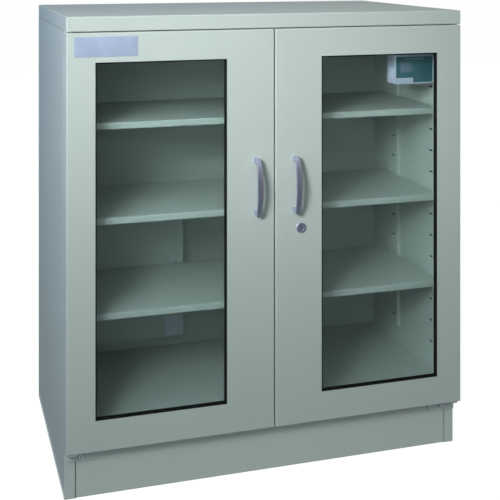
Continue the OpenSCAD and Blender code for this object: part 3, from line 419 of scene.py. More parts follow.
@dataclass(frozen=True)
class MetalFinish:
    """Bare, plated or polished metal with brushing and handling marks."""

    name: str
    colour: Colour
    roughness: float
    grain: Grain = Grain.ROUND
    depth: float = 0.00002
    streak: float = 0.12

    def build(self) -> bpy.types.Material:
        """Make the material."""
        material, graph, shader = new_material(self.name)
        x, y, z = self.grain.value
        brushed = use_group(graph, GROUPS.brushing, Stretch_X=x, Stretch_Y=y, Stretch_Z=z)
        marks = use_group(graph, GROUPS.handling, Scale=40.0)
        dull = tuple(value * (1.0 - self.streak) for value in self.colour)
        graph.feed(shader, "Base Color", blend_colours(
            graph, brushed.outputs["Streak"], self.colour, dull))
        graph.feed(shader, "Metallic", 1.0)
        streaked = graph.maths("MULTIPLY_ADD", brushed.outputs["Streak"], 0.06, self.roughness)
        graph.feed(shader, "Roughness", graph.maths(
            "MULTIPLY_ADD", marks.outputs["Mark"], 0.07, streaked))
        add_bump(graph, shader, brushed.outputs["Height"], 0.3, self.depth)
        return material


@dataclass(frozen=True)
class MouldedFinish:
    """Moulded plastic, nylon or rubber with a fine spark texture."""

    name: str
    colour: Colour
    roughness: float
    texture: float = 0.00003
    coat: float = 0.0
    fade: float = 0.12
    shine: float = 0.5

    def build(self) -> bpy.types.Material:
        """Make the material."""
        material, graph, shader = new_material(self.name)
        place = graph.node("ShaderNodeTexCoord").outputs["Object"]
        spark = graph.node("ShaderNodeTexNoise", Vector=place, Scale=2600.0, Detail=2.0)
        cloud = graph.node("ShaderNodeTexNoise", Vector=place, Scale=35.0, Detail=3.0)
        marks = use_group(graph, GROUPS.handling, Scale=24.0)
        pale = tuple(value * (1.0 + self.fade) + 0.002 for value in self.colour)
        graph.feed(shader, "Base Color", blend_colours(
            graph, graph.span(cloud.outputs[0], 0.35, 0.75), self.colour, pale))
        graph.feed(shader, "Roughness", graph.maths(
            "MULTIPLY_ADD", marks.outputs["Mark"], 0.1, self.roughness))
        graph.feed(shader, "Specular IOR Level", self.shine)
        graph.feed(shader, "Coat Weight", self.coat)
        graph.feed(shader, "Coat Roughness", 0.08)
        add_bump(graph, shader, spark.outputs[0], 0.4, self.texture)
        return material


@dataclass(frozen=True)
class GlassFinish:
    """Clear float glass that lets the lamps reach what is behind it."""

    name: str
    colour: Colour
    shade: Colour

    def build(self) -> bpy.types.Material:
        """Make the material."""
        material, graph, shader = new_material(self.name)
        graph.feed(shader, "Base Color", self.colour)
        graph.feed(shader, "Transmission Weight", 1.0)
        graph.feed(shader, "IOR", 1.5)
        marks = use_group(graph, GROUPS.handling, Scale=7.0)
        graph.feed(shader, "Roughness", graph.maths(
            "MULTIPLY", marks.outputs["Mark"], 0.02))
        clear = graph.node("ShaderNodeBsdfTransparent", Color=self.shade)
        path = graph.node("ShaderNodeLightPath")
        show_mix(graph, path.outputs["Is Shadow Ray"], shader.outputs[0], clear.outputs[0])
        return material


@dataclass(frozen=True)
class DisplayFinish:
    """Blank window of a digital display: two shades that run together under a coat."""

    name: str
    first: Colour
    second: Colour

    def build(self) -> bpy.types.Material:
        """Make the material."""
        material, graph, shader = new_material(self.name)
        place = graph.node("ShaderNodeTexCoord").outputs["UV"]
        parts = graph.node("ShaderNodeSeparateXYZ", Vector=place)
        share = graph.span(parts.outputs["Y"], 0.0, 1.0)
        graph.feed(shader, "Base Color", blend_colours(graph, share, self.first, self.second))
        graph.feed(shader, "Roughness", 0.12)
        graph.feed(shader, "Coat Weight", 0.6)
        graph.feed(shader, "Coat Roughness", 0.04)
        return material


@dataclass(frozen=True)
class BeadFinish:
    """Mass of desiccant beads seen as one rough body, with painted shade in the gaps between
    the beads.
    """

    name: str
    colour: Colour
    gap_shade: Colour

    def build(self) -> bpy.types.Material:
        """Make the material."""
        material, graph, shader = new_material(self.name)
        place = graph.node("ShaderNodeTexCoord").outputs["Object"]
        beads = graph.node("ShaderNodeTexVoronoi", Vector=place, Scale=320.0)
        round_off = graph.span(beads.outputs["Distance"], 0.0, 0.6, 1.0, 0.0)
        # The gap colour is painted shade between the beads.
        graph.feed(shader, "Base Color", blend_colours(graph, round_off, self.gap_shade, self.colour))
        graph.feed(shader, "Roughness", graph.span(round_off, 0.0, 1.0, 0.9, 0.45))
        add_bump(graph, shader, round_off, 1.0, 0.0015)
        return material


# ------------------------------------------------------------------ mesh helpers


def link(mesh: bpy.types.Mesh, name: str) -> bpy.types.Object:
    """Put a mesh into the scene as an object at the origin."""
    piece = bpy.data.objects.new(name, mesh)
    bpy.context.scene.collection.objects.link(piece)
    return piece


def grid_piece(name: str, points: np.ndarray, closed_u: bool, closed_v: bool
               ) -> bpy.types.Object:
    """Make a piece from a grid of points worked out as one array.

    Args:
        name: name of the piece.
        points: array of shape (rows, columns, 3).
        closed_u: the last row joins the first.
        closed_v: the last column joins the first.

    Returns:
        The piece, with a UV map of the two parameters.
    """
    rows, columns, _ = points.shape
    i = np.arange(rows if closed_u else rows - 1)[:, None]
    j = np.arange(columns if closed_v else columns - 1)[None, :]
    i1, j1 = (i + 1) % rows, (j + 1) % columns
    corners = np.stack(np.broadcast_arrays(
        i * columns + j, i1 * columns + j, i1 * columns + j1, i * columns + j1), -1)
    faces = corners.reshape(-1, 4)
    mesh = bpy.data.meshes.new(name)
    mesh.vertices.add(rows * columns)
    mesh.vertices.foreach_set("co", points.astype(np.float32).ravel())
    mesh.loops.add(faces.size)
    mesh.loops.foreach_set("vertex_index", faces.astype(np.int32).ravel())
    mesh.polygons.add(len(faces))
    mesh.polygons.foreach_set("loop_start", np.arange(0, faces.size, 4, dtype=np.int32))
    mesh.polygons.foreach_set("loop_total", np.full(len(faces), 4, dtype=np.int32))
    along = np.stack([(faces // columns) / max(rows - 1, 1),
                      (faces % columns) / max(columns - 1, 1)], -1)
    mesh.uv_layers.new(name="UVMap").uv.foreach_set("vector", along.astype(np.float32).ravel())
    mesh.update()
    mesh.validate()
    return link(mesh, name)


def tidy(piece: bpy.types.Object, angle: float = 35.0) -> bpy.types.Object:
    """Merge doubles, turn the faces outwards and smooth all but the sharp edges.

    Args:
        piece: the piece to finish.
        angle: edges sharper than this, in degrees, stay sharp.

    Returns:
        The same piece.
    """
    work = bmesh.new()
    work.from_mesh(piece.data)
    bmesh.ops.remove_doubles(work, verts=work.verts, dist=WELD)
    bmesh.ops.dissolve_degenerate(work, edges=work.edges, dist=SPECK)
    bmesh.ops.recalc_face_normals(work, faces=work.faces)
    work.to_mesh(piece.data)
    work.free()
    piece.data.shade_smooth()
    piece.data.set_sharp_from_angle(angle=math.radians(angle))
    return piece


def swept_ring(name: str, profile: np.ndarray, low: Vector, high: Vector
               ) -> bpy.types.Object:
    """Carry a closed profile round an upright rectangle with mitred corners.

    Each point of the profile is (inset from the rectangle, place along Y). A point
    of the surface is the corner plus the inset along both of its sides.

    Args:
        name: name of the piece.
        profile: array of shape (n, 2).
        low: lower left corner of the rectangle.
        high: upper right corner of the rectangle.

    Returns:
        The ring.
    """
    corner = np.array([[low.x, low.z], [high.x, low.z], [high.x, high.z], [low.x, high.z]])
    inward = np.array([[1, 1], [-1, 1], [-1, -1], [1, -1]])
    inset = profile[None, :, 0, None] * inward[:, None, :]
    flat = corner[:, None, :] + inset
    depth = np.broadcast_to(profile[None, :, 1], flat.shape[:2])
    points = np.stack([flat[..., 0], depth, flat[..., 1]], -1)
    return tidy(grid_piece(name, points, True, True))


def arc(centre: Sequence[float], radius: float, start: float, end: float,
        steps: int = 6) -> np.ndarray:
    """Points on an arc in the plane, angles in degrees, both ends included."""
    angle = np.radians(np.linspace(start, end, steps + 1))
    return np.stack([centre[0] + radius * np.cos(angle),
                     centre[1] + radius * np.sin(angle)], -1)


def rounded_plate(name: str, low: Sequence[float], high: Sequence[float], radius: float,
                  front: float, back: float, bevel: float) -> bpy.types.Object:
    """Make a thin plate that faces -Y, with round corners and a soft front edge.

    The outline is a rectangle with quarter circles at its corners. Rings of it are
    stacked from the back to the front, and the last ones shrink by a quarter circle.

    Args:
        name: name of the plate.
        low: lowest X and Z.
        high: highest X and Z.
        radius: radius of the corners.
        front: Y of the face.
        back: Y of the back.
        bevel: radius of the front edge.

    Returns:
        The plate.
    """
    points = 6
    quarter = np.repeat(np.arange(4), points)
    turn = np.radians(np.concatenate(
        [np.linspace(q * 90, q * 90 + 90, points) for q in range(4)]))
    middle = np.array([(low[0] + high[0]) / 2, (low[1] + high[1]) / 2])
    half = np.array([(high[0] - low[0]) / 2, (high[1] - low[1]) / 2]) - radius
    sign = np.array([[1, 1], [-1, 1], [-1, -1], [1, -1]])[quarter]
    ease = np.linspace(0, np.pi / 2, 5)
    reach = half.min() + radius - CENTRE_GAP
    shrink = np.concatenate([[reach, 0.0], bevel * (1 - np.cos(ease)), [reach]])
    place = np.concatenate([[back, back], front + bevel * (1 - np.sin(ease)), [front]])
    rows = []
    for inset, y in zip(shrink, place):
        corner = max(radius - inset, 0.0)
        core = np.maximum(half + radius - inset - corner, 0.0)
        flat = middle + sign * core + corner * np.stack([np.cos(turn), np.sin(turn)], -1)
        rows.append(np.stack([flat[:, 0], np.full(len(turn), y), flat[:, 1]], -1))
    return tidy(grid_piece(name, np.array(rows), False, True), 50.0)


def softened_copy(node: str, radius: float, segments: int = 2, angle: float = 30.0
                  ) -> bpy.types.Object:
    """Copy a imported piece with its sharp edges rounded, to stand in for it.

    Args:
        node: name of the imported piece.
        radius: radius of the rounded edges.
        segments: faces across a rounded edge.
        angle: only edges sharper than this, in degrees, are rounded.

    Returns:
        The copy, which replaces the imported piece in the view.
    """
    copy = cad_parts[node].data.copy()
    copy.materials.clear()
    work = bmesh.new()
    work.from_mesh(copy)
    bmesh.ops.remove_doubles(work, verts=work.verts, dist=WELD)
    bmesh.ops.dissolve_limit(work, angle_limit=math.radians(FLAT_ANGLE), verts=work.verts,
                             edges=work.edges)
    work.to_mesh(copy)
    work.free()
    piece = link(copy, "soft_" + node)
    bevel = piece.modifiers.new("edge", "BEVEL")
    bevel.width = radius
    bevel.segments = segments
    bevel.limit_method = "ANGLE"
    bevel.angle_limit = math.radians(angle)
    bevel.harden_normals = True
    copy.shade_smooth()
    copy.set_sharp_from_angle(angle=math.radians(angle))
    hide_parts(node)
    return piece


def coat(piece: bpy.types.Object, material: bpy.types.Material) -> None:
    """Give a piece one material over all of its faces."""
    piece.data.materials.clear()
    piece.data.materials.append(material)


# ------------------------------------------------------------------ finishes in use


@dataclass(frozen=True)
class Palette:
    """Every finish of the cabinet, built once."""

    paint: bpy.types.Material
    inner: bpy.types.Material
    zinc: bpy.types.Material
    bright: bpy.types.Material
    steel: bpy.types.Material
    rubber: bpy.types.Material
    seal: bpy.types.Material
    glass: bpy.types.Material
    nylon: bpy.types.Material
    case: bpy.types.Material
    face: bpy.types.Material
    black: bpy.types.Material
    felt: bpy.types.Material
    beads: bpy.types.Material
    coil: bpy.types.Material
    plate: bpy.types.Material
    film: bpy.types.Material
    sticker: bpy.types.Material
    display: bpy.types.Material

    @staticmethod
    def build() -> "Palette":
        """Make the materials from their finishes."""
        return Palette(
            paint=PaintFinish("door_paint", srgb(198, 210, 204), srgb(202, 213, 208)).build(),
            # Inner paint: the outer powder coat made darker, as painted shade for the cabinet's
            # interior.
            inner=PaintFinish("inner_paint", srgb(184, 196, 190), srgb(189, 200, 195),
                              roughness=0.42, dust=0.15).build(),
            zinc=MetalFinish("zinc_sheet", srgb(186, 190, 194), 0.42, depth=0.00004).build(),
            bright=MetalFinish("bright_plating", srgb(206, 212, 236), 0.36,
                               Grain.ALONG_Z).build(),
            steel=MetalFinish("screw_steel", srgb(176, 180, 190), 0.34).build(),
            rubber=MouldedFinish("glazing_rubber", srgb(12, 14, 16), 0.7, shine=0.15).build(),
            seal=MouldedFinish("seal_rubber", srgb(46, 48, 48), 0.6, shine=0.3).build(),
            glass=GlassFinish("float_glass", (0.84, 0.90, 0.895), (0.67, 0.715, 0.705)).build(),
            nylon=MouldedFinish("nylon", srgb(224, 222, 210), 0.42).build(),
            case=MouldedFinish("case_plastic", srgb(200, 208, 230), 0.4).build(),
            face=MouldedFinish("face_panel", srgb(62, 108, 116), 0.3, coat=0.2).build(),
            black=MouldedFinish("black_plastic", srgb(26, 27, 29), 0.42).build(),
            # Near-black sheet used as painted shade behind the shelf slots and as painted
            # shadow lines at the kick seams.
            felt=MouldedFinish("black_felt", srgb(10, 12, 12), 0.95, 0.0001, shine=0.1).build(),
            # Second colour: painted shade in the gaps between the beads.
            beads=BeadFinish("desiccant_beads", srgb(176, 150, 104), srgb(60, 48, 32)).build(),
            coil=MetalFinish("varnished_coil", srgb(150, 86, 40), 0.3, Grain.ROUND,
                             0.00008, 0.4).build(),
            plate=MouldedFinish("plate_film", srgb(168, 182, 208), 0.35, 0.00001, 0.1).build(),
            film=MouldedFinish("panel_film", srgb(104, 146, 152), 0.35, 0.00001).build(),
            sticker=MouldedFinish("sticker_paper", srgb(196, 204, 216), 0.6, 0.00002).build(),
            display=DisplayFinish("display_window", srgb(112, 130, 148),
                                  srgb(122, 140, 156)).build(),
        )


# ------------------------------------------------------------------ sub-assemblies


@dataclass
class Carcass:
    """Outer skins, inner skins, plinth, shelves and hinge hardware."""

    palette: Palette
    bracket_edge: float = 0.6 * MM
    screw_edge: float = 0.5 * MM
    painted: tuple[str, ...] = ("top_cap", "side_panel_left", "side_panel_right",
                                "back_panel", "kick_plate")
    lined: tuple[str, ...] = ("side_liner_left", "side_liner_right", "back_liner",
                              "ceiling_pan", "floor_pan", "rear_uprights", "shelf_lower",
                              "shelf_middle", "shelf_upper")
    bare: tuple[str, ...] = ("base_rails", "shelf_clips")

    def build(self) -> list[bpy.types.Object]:
        """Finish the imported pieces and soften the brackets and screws.

        Returns:
            The new pieces.
        """
        for names, material in ((self.painted, self.palette.paint),
                                (self.lined, self.palette.inner),
                                (self.bare, self.palette.zinc),
                                (("hinge_pins",), self.palette.steel)):
            for name in names:
                coat(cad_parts[name], material)
        made = []
        for place in ("bottom_left", "bottom_right", "top_left", "top_right"):
            made.append(self.soften("hinge_bracket_" + place, self.bracket_edge,
                                    self.palette.paint))
        made.append(self.soften("bracket_screws", self.screw_edge, self.palette.steel))
        return made

    def soften(self, node: str, radius: float, material: bpy.types.Material
               ) -> bpy.types.Object:
        """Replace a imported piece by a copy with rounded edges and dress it."""
        piece = softened_copy(node, radius)
        coat(piece, material)
        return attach(piece, "cabinet")


@dataclass
class Door:
    """One door with its skins, glass, bushes, rubber, handle and handle screws."""

    side: Side
    palette: Palette
    lip: float = 1.0 * MM
    groove: float = 2.0 * MM
    glass: float = 5.0 * MM
    wall: float = 3.5 * MM
    glazing_width: float = 3.0 * MM
    seal_width: float = 12.0 * MM
    seal_shoulder: float = 0.8 * MM
    bulb_half: float = 4.0 * MM
    bulb_points: int = 13
    foot_share: float = 0.45
    flank_share: float = 0.6
    handle_edge: float = 1.3 * MM
    screw_edge: float = 0.3 * MM

    def node(self, name: str) -> str:
        """Name of one of this door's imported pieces."""
        return f"{name}_{self.side.word}"

    @property
    def body(self) -> str:
        """Name of the moving body that the door's pieces ride on."""
        return self.node("door")

    def glazing_profile(self) -> np.ndarray:
        """Section of the glazing rubber: round front lip, groove, flat back.

        Returns:
            Points (inset, Y) of the closed section.
        """
        low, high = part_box(self.node("glazing"))
        width = self.glazing_width
        y0, y1 = low.y, high.y
        groove0, groove1 = y0 + self.wall, y0 + self.wall + self.glass
        lip = self.lip
        return np.concatenate([
            [[0.0, y1], [0.0, y0 + lip]],
            arc((lip, y0 + lip), lip, 180, 270, 4),
            arc((width - lip, y0 + lip), lip, 270, 360, 4),
            [[width, groove0], [width - self.groove, groove0],
             [width - self.groove, groove1], [width, groove1], [width, y1]],
        ])

    def seal_profile(self) -> np.ndarray:
        """Section of the door seal: a flat foot with a round bulb on it.

        Returns:
            Points (inset, Y) of the closed section.
        """
        low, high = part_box(self.node("door_seal"))
        y0, y1 = low.y, high.y
        foot = (y1 - y0) * self.foot_share
        flank = y0 + foot * self.flank_share
        width, shoulder = self.seal_width, self.seal_shoulder
        turn = np.linspace(0, np.pi, self.bulb_points)
        bulb = np.array([[width / 2, 0.0]]) + np.stack([
            -np.cos(turn) * self.bulb_half,
            y0 + foot + np.sin(turn) * (y1 - y0 - foot)], -1)
        return np.concatenate([
            [[0.0, y0], [0.0, flank], [shoulder, y0 + foot]],
            bulb,
            [[width - shoulder, y0 + foot], [width, flank], [width, y0]],
        ])

    def build(self) -> list[bpy.types.Object]:
        """Finish the door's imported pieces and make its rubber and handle.

        Returns:
            The new pieces.
        """
        palette = self.palette
        for name, material in (("door_skin", palette.paint), ("door_pan", palette.paint),
                               ("glass", palette.glass), ("hinge_bushes", palette.nylon)):
            coat(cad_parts[self.node(name)], material)
        made = []
        for name, profile, material, slot in (
                ("glazing", self.glazing_profile(), palette.rubber, "black_rubber"),
                ("door_seal", self.seal_profile(), palette.seal, "white_rubber")):
            low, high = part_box(self.node(name))
            piece = swept_ring(f"{name}_section_{self.side.word}", profile, low, high)
            coat(piece, material)
            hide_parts(self.node(name))
            made.append(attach(piece, self.body))
        for name, radius, material, slot in (
                ("handle", self.handle_edge, palette.bright, "bright_metal"),
                ("handle_screws", self.screw_edge, palette.steel, "screw_steel")):
            piece = softened_copy(self.node(name), radius, 3)
            coat(piece, material)
            made.append(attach(piece, self.body))
        return made


@dataclass
class NamePlate:
    """Bare plate at the upper left of the left door."""

    palette: Palette
    left: float = -434.3 * MM
    right: float = -301.6 * MM
    bottom: float = 907.7 * MM
    top: float = 948.8 * MM
    thickness: float = 0.8 * MM
    corner: float = 1.0 * MM
    edge: float = 0.3 * MM

    def build(self) -> list[bpy.types.Object]:
        """Make the plate on the door's skin."""
        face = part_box("door_skin_left")[0].y
        plate = rounded_plate("name_plate", (self.left, self.bottom), (self.right, self.top),
                              self.corner, face - self.thickness, face, self.edge)
        coat(plate, self.palette.plate)
        return [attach(plate, "door_left")]


@dataclass
class LockAndBolt:
    """Cylinder lock on the right door, keeper and bolt on the left door."""

    palette: Palette
    edge: float = 0.5 * MM

    def build(self) -> list[bpy.types.Object]:
        """Soften and finish each piece of the lock and the bolt."""
        palette = self.palette
        made = []
        for node, body, radius, material, slot in (
                ("lock_barrel", "door_right", 0.7 * MM, palette.bright, "bright_metal"),
                ("lock_nut", "door_right", self.edge, palette.steel, "screw_steel"),
                ("lock_plug", "lock", 0.25 * MM, palette.bright, "bright_metal"),
                ("lock_cam", "lock", 0.4 * MM, palette.zinc, "bare_sheet"),
                ("cam_screw", "lock", 0.4 * MM, palette.steel, "screw_steel"),
                ("lock_keeper", "door_left", 0.4 * MM, palette.zinc, "bare_sheet"),
                ("bolt_guide", "door_left", self.edge, palette.zinc, "bare_sheet"),
                ("door_bolt", "bolt", self.edge, palette.bright, "bright_metal")):
            piece = softened_copy(node, radius)
            coat(piece, material)
            made.append(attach(piece, body))
        return made


@dataclass
class DryUnit:
    """Regenerating dry unit on the inner back wall, with its bare sticker."""

    palette: Palette
    screw_edge: float = 0.5 * MM
    sticker_left: float = 47 * MM
    sticker_right: float = 1 * MM
    sticker_bottom: float = 3 * MM
    sticker_top: float = 52 * MM
    sticker_corner: float = 2 * MM
    sticker_t: float = 0.25 * MM
    sticker_edge: float = 0.1 * MM

    def build(self) -> list[bpy.types.Object]:
        """Finish the unit's pieces and stick the bare label on its cover."""
        palette = self.palette
        for node, material in (("dry_cover", palette.inner), ("dry_chamber", palette.zinc),
                               ("desiccant_cassette", palette.beads), ("heater", palette.steel),
                               ("shutter", palette.zinc), ("solenoid", palette.coil)):
            coat(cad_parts[node], material)
        screws = softened_copy("dry_screws", self.screw_edge)
        coat(screws, palette.steel)
        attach(screws, "cabinet")
        low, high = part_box("dry_cover")
        sticker = rounded_plate(
            "cover_sticker", (high.x - self.sticker_left, low.z + self.sticker_bottom),
            (high.x - self.sticker_right, low.z + self.sticker_top), self.sticker_corner,
            low.y - self.sticker_t, low.y, self.sticker_edge)
        coat(sticker, palette.sticker)
        return [screws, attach(sticker, "cabinet")]


@dataclass
class Hygrometer:
    """Digital hygrometer at the upper right, with its display and blank strips."""

    palette: Palette
    panel_edge: float = 0.2 * MM

    def build(self) -> list[bpy.types.Object]:
        """Finish the case and face and put the display and label strips on."""
        palette = self.palette
        made = []
        for node, radius, material, slot in (
                ("hygrometer_case", 1.2 * MM, palette.case, "case_plastic"),
                ("hygrometer_face", 0.35 * MM, palette.case, "case_plastic"),
                ("hygrometer_bracket", 0.3 * MM, palette.zinc, "bare_sheet")):
            piece = softened_copy(node, radius)
            coat(piece, material)
            made.append(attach(piece, "cabinet"))
        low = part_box("hygrometer_face")[0]
        face = low.y
        for name, x0, x1, z0, z1, lift, radius, material, slot in (
                ("dial_panel", 5, 98.5, 3, 62, 0.4, 3, palette.face, "face_plastic"),
                ("display_window", 15.6, 46, 26.4, 48.9, 0.8, 1, palette.display,
                 "face_plastic"),
                ("panel_strip", 28, 76, 55, 58.5, 0.5, 1, palette.film, "face_plastic"),
                ("panel_tab", 5, 48, 3, 14, 0.6, 1.5, palette.case, "case_plastic")):
            piece = rounded_plate(
                name, (low.x + x0 * MM, low.z + z0 * MM), (low.x + x1 * MM, low.z + z1 * MM),
                radius * MM, face - lift * MM, face, self.panel_edge)
            coat(piece, material)
            made.append(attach(piece, "cabinet"))
        return made


@dataclass
class PaintedShadeStrips:
    """Near-black sheets of painted shade behind the shelf slots, and painted shadow lines
    beside the kick plate.
    """

    palette: Palette
    # Thickness of the painted-shade sheets; the two values below give the Y range of the front
    # ones.
    felt: float = 0.5 * MM
    shade_sheet_low: float = -135.0 * MM
    shade_sheet_high: float = -60.0 * MM
    behind_skin: float = 1.3 * MM
    rear_inset: float = 2 * MM
    seam_half: float = 0.5 * MM
    seam_t: float = 0.15 * MM

    def strip(self, name: str, low: Sequence[float], high: Sequence[float]
              ) -> bpy.types.Object:
        """Make one closed strip between two opposite corners.

        The surface is the eight combinations of the corners' coordinates.

        Args:
            name: name of the strip.
            low: its lowest corner.
            high: its highest corner.

        Returns:
            The strip.
        """
        corners = np.stack(np.meshgrid(*zip(low, high), indexing="ij"), -1).reshape(-1, 3)
        mesh = bpy.data.meshes.new(name)
        mesh.from_pydata(corners, [], [(0, 1, 3, 2), (4, 6, 7, 5), (0, 4, 5, 1),
                                       (2, 3, 7, 6), (0, 2, 6, 4), (1, 5, 7, 3)])
        piece = tidy(link(mesh, name))
        coat(piece, self.palette.felt)
        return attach(piece, "cabinet")

    def build(self) -> list[bpy.types.Object]:
        """Put painted shade behind the four columns of slots and draw the two painted shadow
        lines at the seams.
        """
        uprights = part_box("rear_uprights")
        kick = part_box("kick_plate")
        made = []
        for side in Side:
            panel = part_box("side_panel_" + side.word)
            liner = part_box("side_liner_" + side.word)
            outer = 0 if side is Side.LEFT else 1
            wall = panel[outer].x - side.value * self.behind_skin
            inner = liner[1 - outer].x
            edge = kick[outer].x
            front = sorted((wall, wall - side.value * self.felt))
            rear = sorted((inner, inner - side.value * self.felt))
            # Near-black sheets stand behind the slots as painted shade, where the real cabinet
            # has only shade.
            made.append(self.strip(
                "slot_felt_front_" + side.word,
                (front[0], self.shade_sheet_low, uprights[0].z),
                (front[1], self.shade_sheet_high, uprights[1].z)))
            made.append(self.strip(
                "slot_felt_rear_" + side.word,
                (rear[0], uprights[0].y + self.rear_inset, uprights[0].z),
                (rear[1], uprights[1].y - self.rear_inset, uprights[1].z)))
            # A thin near-black strip over each seam is a painted shadow line.
            made.append(self.strip(
                "kick_seam_" + side.word,
                (edge - self.seam_half, kick[0].y - self.seam_t, 0.0),
                (edge + self.seam_half, kick[0].y, kick[1].z)))
        return made


@dataclass
class Inlet:
    """Mains inlet in the outer back panel."""

    palette: Palette
    edge: float = 0.4 * MM

    def build(self) -> list[bpy.types.Object]:
        """Soften the inlet's moulding and finish it."""
        piece = softened_copy("mains_inlet", self.edge)
        coat(piece, self.palette.black)
        return [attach(piece, "cabinet")]


# ------------------------------------------------------------------ studio


@dataclass(frozen=True)
class Lamp:
    """One soft area lamp."""

    name: str
    place: tuple[float, float, float]
    target: tuple[float, float, float]
    size: tuple[float, float]
    watts: float
    colour: Colour = (1.0, 1.0, 1.0)
    spread: float = 180.0

    def build(self) -> None:
        """Hang the lamp and turn it to its target."""
        light = bpy.data.lights.new(self.name, "AREA")
        light.shape = "RECTANGLE"
        light.size, light.size_y = self.size
        light.energy = self.watts
        light.color = self.colour
        light.spread = math.radians(self.spread)
        lamp = bpy.data.objects.new(self.name, light)
        lamp.location = self.place
        aim = Vector(self.target) - Vector(self.place)
        lamp.rotation_euler = aim.to_track_quat("-Z", "Y").to_euler()
        bpy.context.scene.collection.objects.link(lamp)


@dataclass(frozen=True)
class Card:
    """Flat dark card that only reflections show, as a flag beside a camera."""

    name: str
    corner: tuple[float, float, float]
    along: tuple[float, float, float]
    across: tuple[float, float, float]
    glow: float = 0.0
    tone: Colour = (0.02, 0.022, 0.022)
    glow_colour: Colour = (0.82, 0.9, 1.0)

    def build(self) -> None:
        """Set the card up; a point of it is its corner plus shares of its two sides."""
        share = np.linspace(0.0, 1.0, 3)
        u, v = np.meshgrid(share, share, indexing="ij")
        card = grid_piece(self.name, np.array(self.corner) + u[..., None] * self.along
                          + v[..., None] * self.across, False, False)
        material, graph, shader = new_material(self.name)
        graph.feed(shader, "Base Color", self.tone)
        graph.feed(shader, "Roughness", 0.95)
        graph.feed(shader, "Emission Color", self.glow_colour)
        graph.feed(shader, "Emission Strength", self.glow)
        path = graph.node("ShaderNodeLightPath")
        show_mix(graph, graph.maths("MINIMUM", path.outputs["Glossy Depth"], 1.0),
                 graph.node("ShaderNodeBsdfTransparent").outputs[0], shader.outputs[0])
        coat(card, material)
        card.visible_camera = False
        card.visible_diffuse = False
        card.visible_shadow = False


@dataclass(frozen=True)
class Viewpoint:
    """Level camera, turned by yaw, with the crop that the frame needs."""

    place: tuple[float, float, float] = (-0.71454, -1.9, 1.11065)
    yaw: float = 13.6403
    lens: float = 61.0294
    shift: tuple[float, float] = (0.2267, -0.5860)
    sensor: float = 36.0

    def build(self) -> None:
        """Set the scene's camera."""
        data = bpy.data.cameras.new("camera")
        data.sensor_width = self.sensor
        data.lens = self.lens
        data.shift_x, data.shift_y = self.shift
        camera = bpy.data.objects.new("camera", data)
        camera.location = self.place
        camera.rotation_euler = (math.radians(90), 0.0, math.radians(-self.yaw))
        bpy.context.scene.collection.objects.link(camera)
        bpy.context.scene.camera = camera


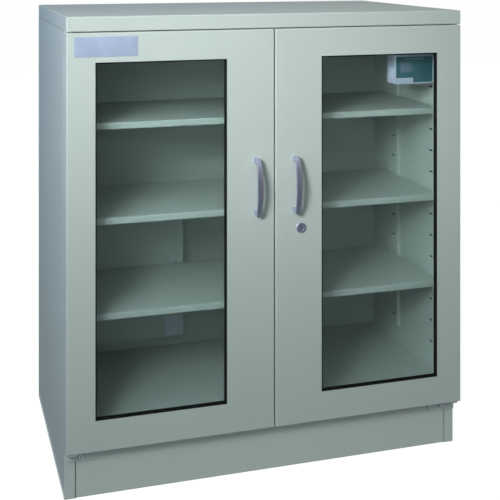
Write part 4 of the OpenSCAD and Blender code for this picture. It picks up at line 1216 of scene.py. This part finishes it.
@dataclass
class Studio:
    """Pale floor, lamps, dark cards, white surroundings and the camera."""

    ambient: Colour = (0.87, 1.0, 0.98)
    ambient_strength: float = 0.31
    floor_size: float = 12.0
    floor_points: int = 9
    floor_drift: float = 1.02
    floor_colour: Colour = (0.30, 0.305, 0.31)
    floor_glow: float = 0.93
    cards: tuple[Card, ...] = (
        Card("front_card", (-0.1, -3.83, 0.0), (4.3, 2.43, 0.0), (0.0, 0.0, 2.4), 0.07),
        Card("floor_card", (-0.5, -0.3, 0.004), (5.0, 0.0, 0.0), (0.0, -4.0, 0.0), 0.1),
        Card("back_card", (-6.0, 5.5, 0.0), (12.0, 0.0, 0.0), (0.0, 0.0, 3.5), 0.07),
        Card("side_card", (-0.452, 5.5, 0.006), (-3.0, 0.0, 0.0), (0.0, -6.0, 0.0), 0.1),
    )
    viewpoint: Viewpoint = field(default_factory=Viewpoint)
    lamps: tuple[Lamp, ...] = (
        Lamp("key", (-1.26, -1.49, 1.5), (-0.1, -0.24, 0.85), (0.5, 0.5), 6.6,
             (0.94, 0.98, 1.0), 90.0),
        Lamp("beam", (-1.26, -1.49, 1.5), (0.1, -0.24, 0.95), (0.6, 0.6), 0.75,
             (1.0, 0.95, 0.93), 35.0),
        Lamp("side", (-1.9, 0.2, 1.9), (-0.45, 0.0, 0.9), (0.8, 0.8), 1.7,
             (0.2, 0.4, 1.0), 70.0),
    )

    def seen_directly(self, graph: Graph) -> bpy.types.NodeSocket:
        """1 for rays from the camera, from gloss and through glass, else 0.

        A ray that has left a matt surface once gives 0, whatever it passed since, so
        that the white surroundings light nothing.
        """
        path = graph.node("ShaderNodeLightPath")
        either = graph.maths("MAXIMUM", path.outputs["Is Camera Ray"],
                             path.outputs["Is Glossy Ray"])
        seen = graph.maths("MAXIMUM", either, path.outputs["Is Transmission Ray"])
        matt = graph.maths("MINIMUM", path.outputs["Diffuse Depth"], 1.0)
        return graph.maths("MULTIPLY", seen, graph.maths("SUBTRACT", 1.0, matt))

    def build_world(self) -> None:
        """Surroundings that look white and light the object with a dim, even glow."""
        world = bpy.data.worlds.new("surroundings")
        bpy.context.scene.world = world
        world.use_nodes = True
        world.node_tree.nodes.clear()
        graph = Graph(world.node_tree)
        dim = graph.node("ShaderNodeBackground", Color=self.ambient,
                         Strength=self.ambient_strength)
        white = graph.node("ShaderNodeBackground", Color=(1.0, 1.0, 1.0), Strength=1.0)
        mix = graph.node("ShaderNodeMixShader")
        graph.feed(mix, 0, self.seen_directly(graph))
        graph.feed(mix, 1, dim.outputs[0])
        graph.feed(mix, 2, white.outputs[0])
        graph.node("ShaderNodeOutputWorld", Surface=mix.outputs[0])

    def build_floor(self) -> None:
        """Level square under the cabinet, pale and slightly uneven in tone."""
        half = self.floor_size / 2
        steps = np.linspace(-half, half, self.floor_points)
        x, y = np.meshgrid(steps, steps, indexing="ij")
        floor = grid_piece("floor", np.stack([x, y, np.zeros_like(x)], -1), False, False)
        material, graph, shader = new_material("floor")
        place = graph.node("ShaderNodeTexCoord").outputs["Object"]
        cloud = graph.node("ShaderNodeTexNoise", Vector=place, Scale=1.4, Detail=3.0)
        pale = tuple(min(1.0, value * self.floor_drift) for value in self.floor_colour)
        graph.feed(shader, "Base Color", blend_colours(
            graph, cloud.outputs[0], self.floor_colour, pale))
        graph.feed(shader, "Roughness", 0.85)
        graph.feed(shader, "Specular IOR Level", 0.1)
        graph.feed(shader, "Emission Color", (1.0, 1.0, 1.0))
        graph.feed(shader, "Emission Strength", graph.maths(
            "MULTIPLY", self.seen_directly(graph), self.floor_glow))
        coat(floor, material)

    def build(self) -> None:
        """Set up the camera, the lamps, the floor, the cards and the surroundings."""
        self.viewpoint.build()
        for lamp in self.lamps:
            lamp.build()
        self.build_floor()
        for card in self.cards:
            card.build()
        self.build_world()
        bpy.context.scene.view_settings.view_transform = "Standard"


# ------------------------------------------------------------------ the whole


def main() -> None:
    """Build and dress each sub-assembly and report its pieces."""
    logging.basicConfig(level=logging.INFO, format="%(name)s: %(message)s")
    Studio().build()
    palette = Palette.build()
    for part in (Carcass(palette), Door(Side.LEFT, palette), Door(Side.RIGHT, palette),
                 NamePlate(palette), LockAndBolt(palette), DryUnit(palette),
                 Hygrometer(palette), PaintedShadeStrips(palette), Inlet(palette)):
        for piece in part.build():
            LOG.info("%s: %s, %d faces", type(part).__name__, piece.name,
                     len(piece.data.polygons))


if __name__ == "__main__":
    main()
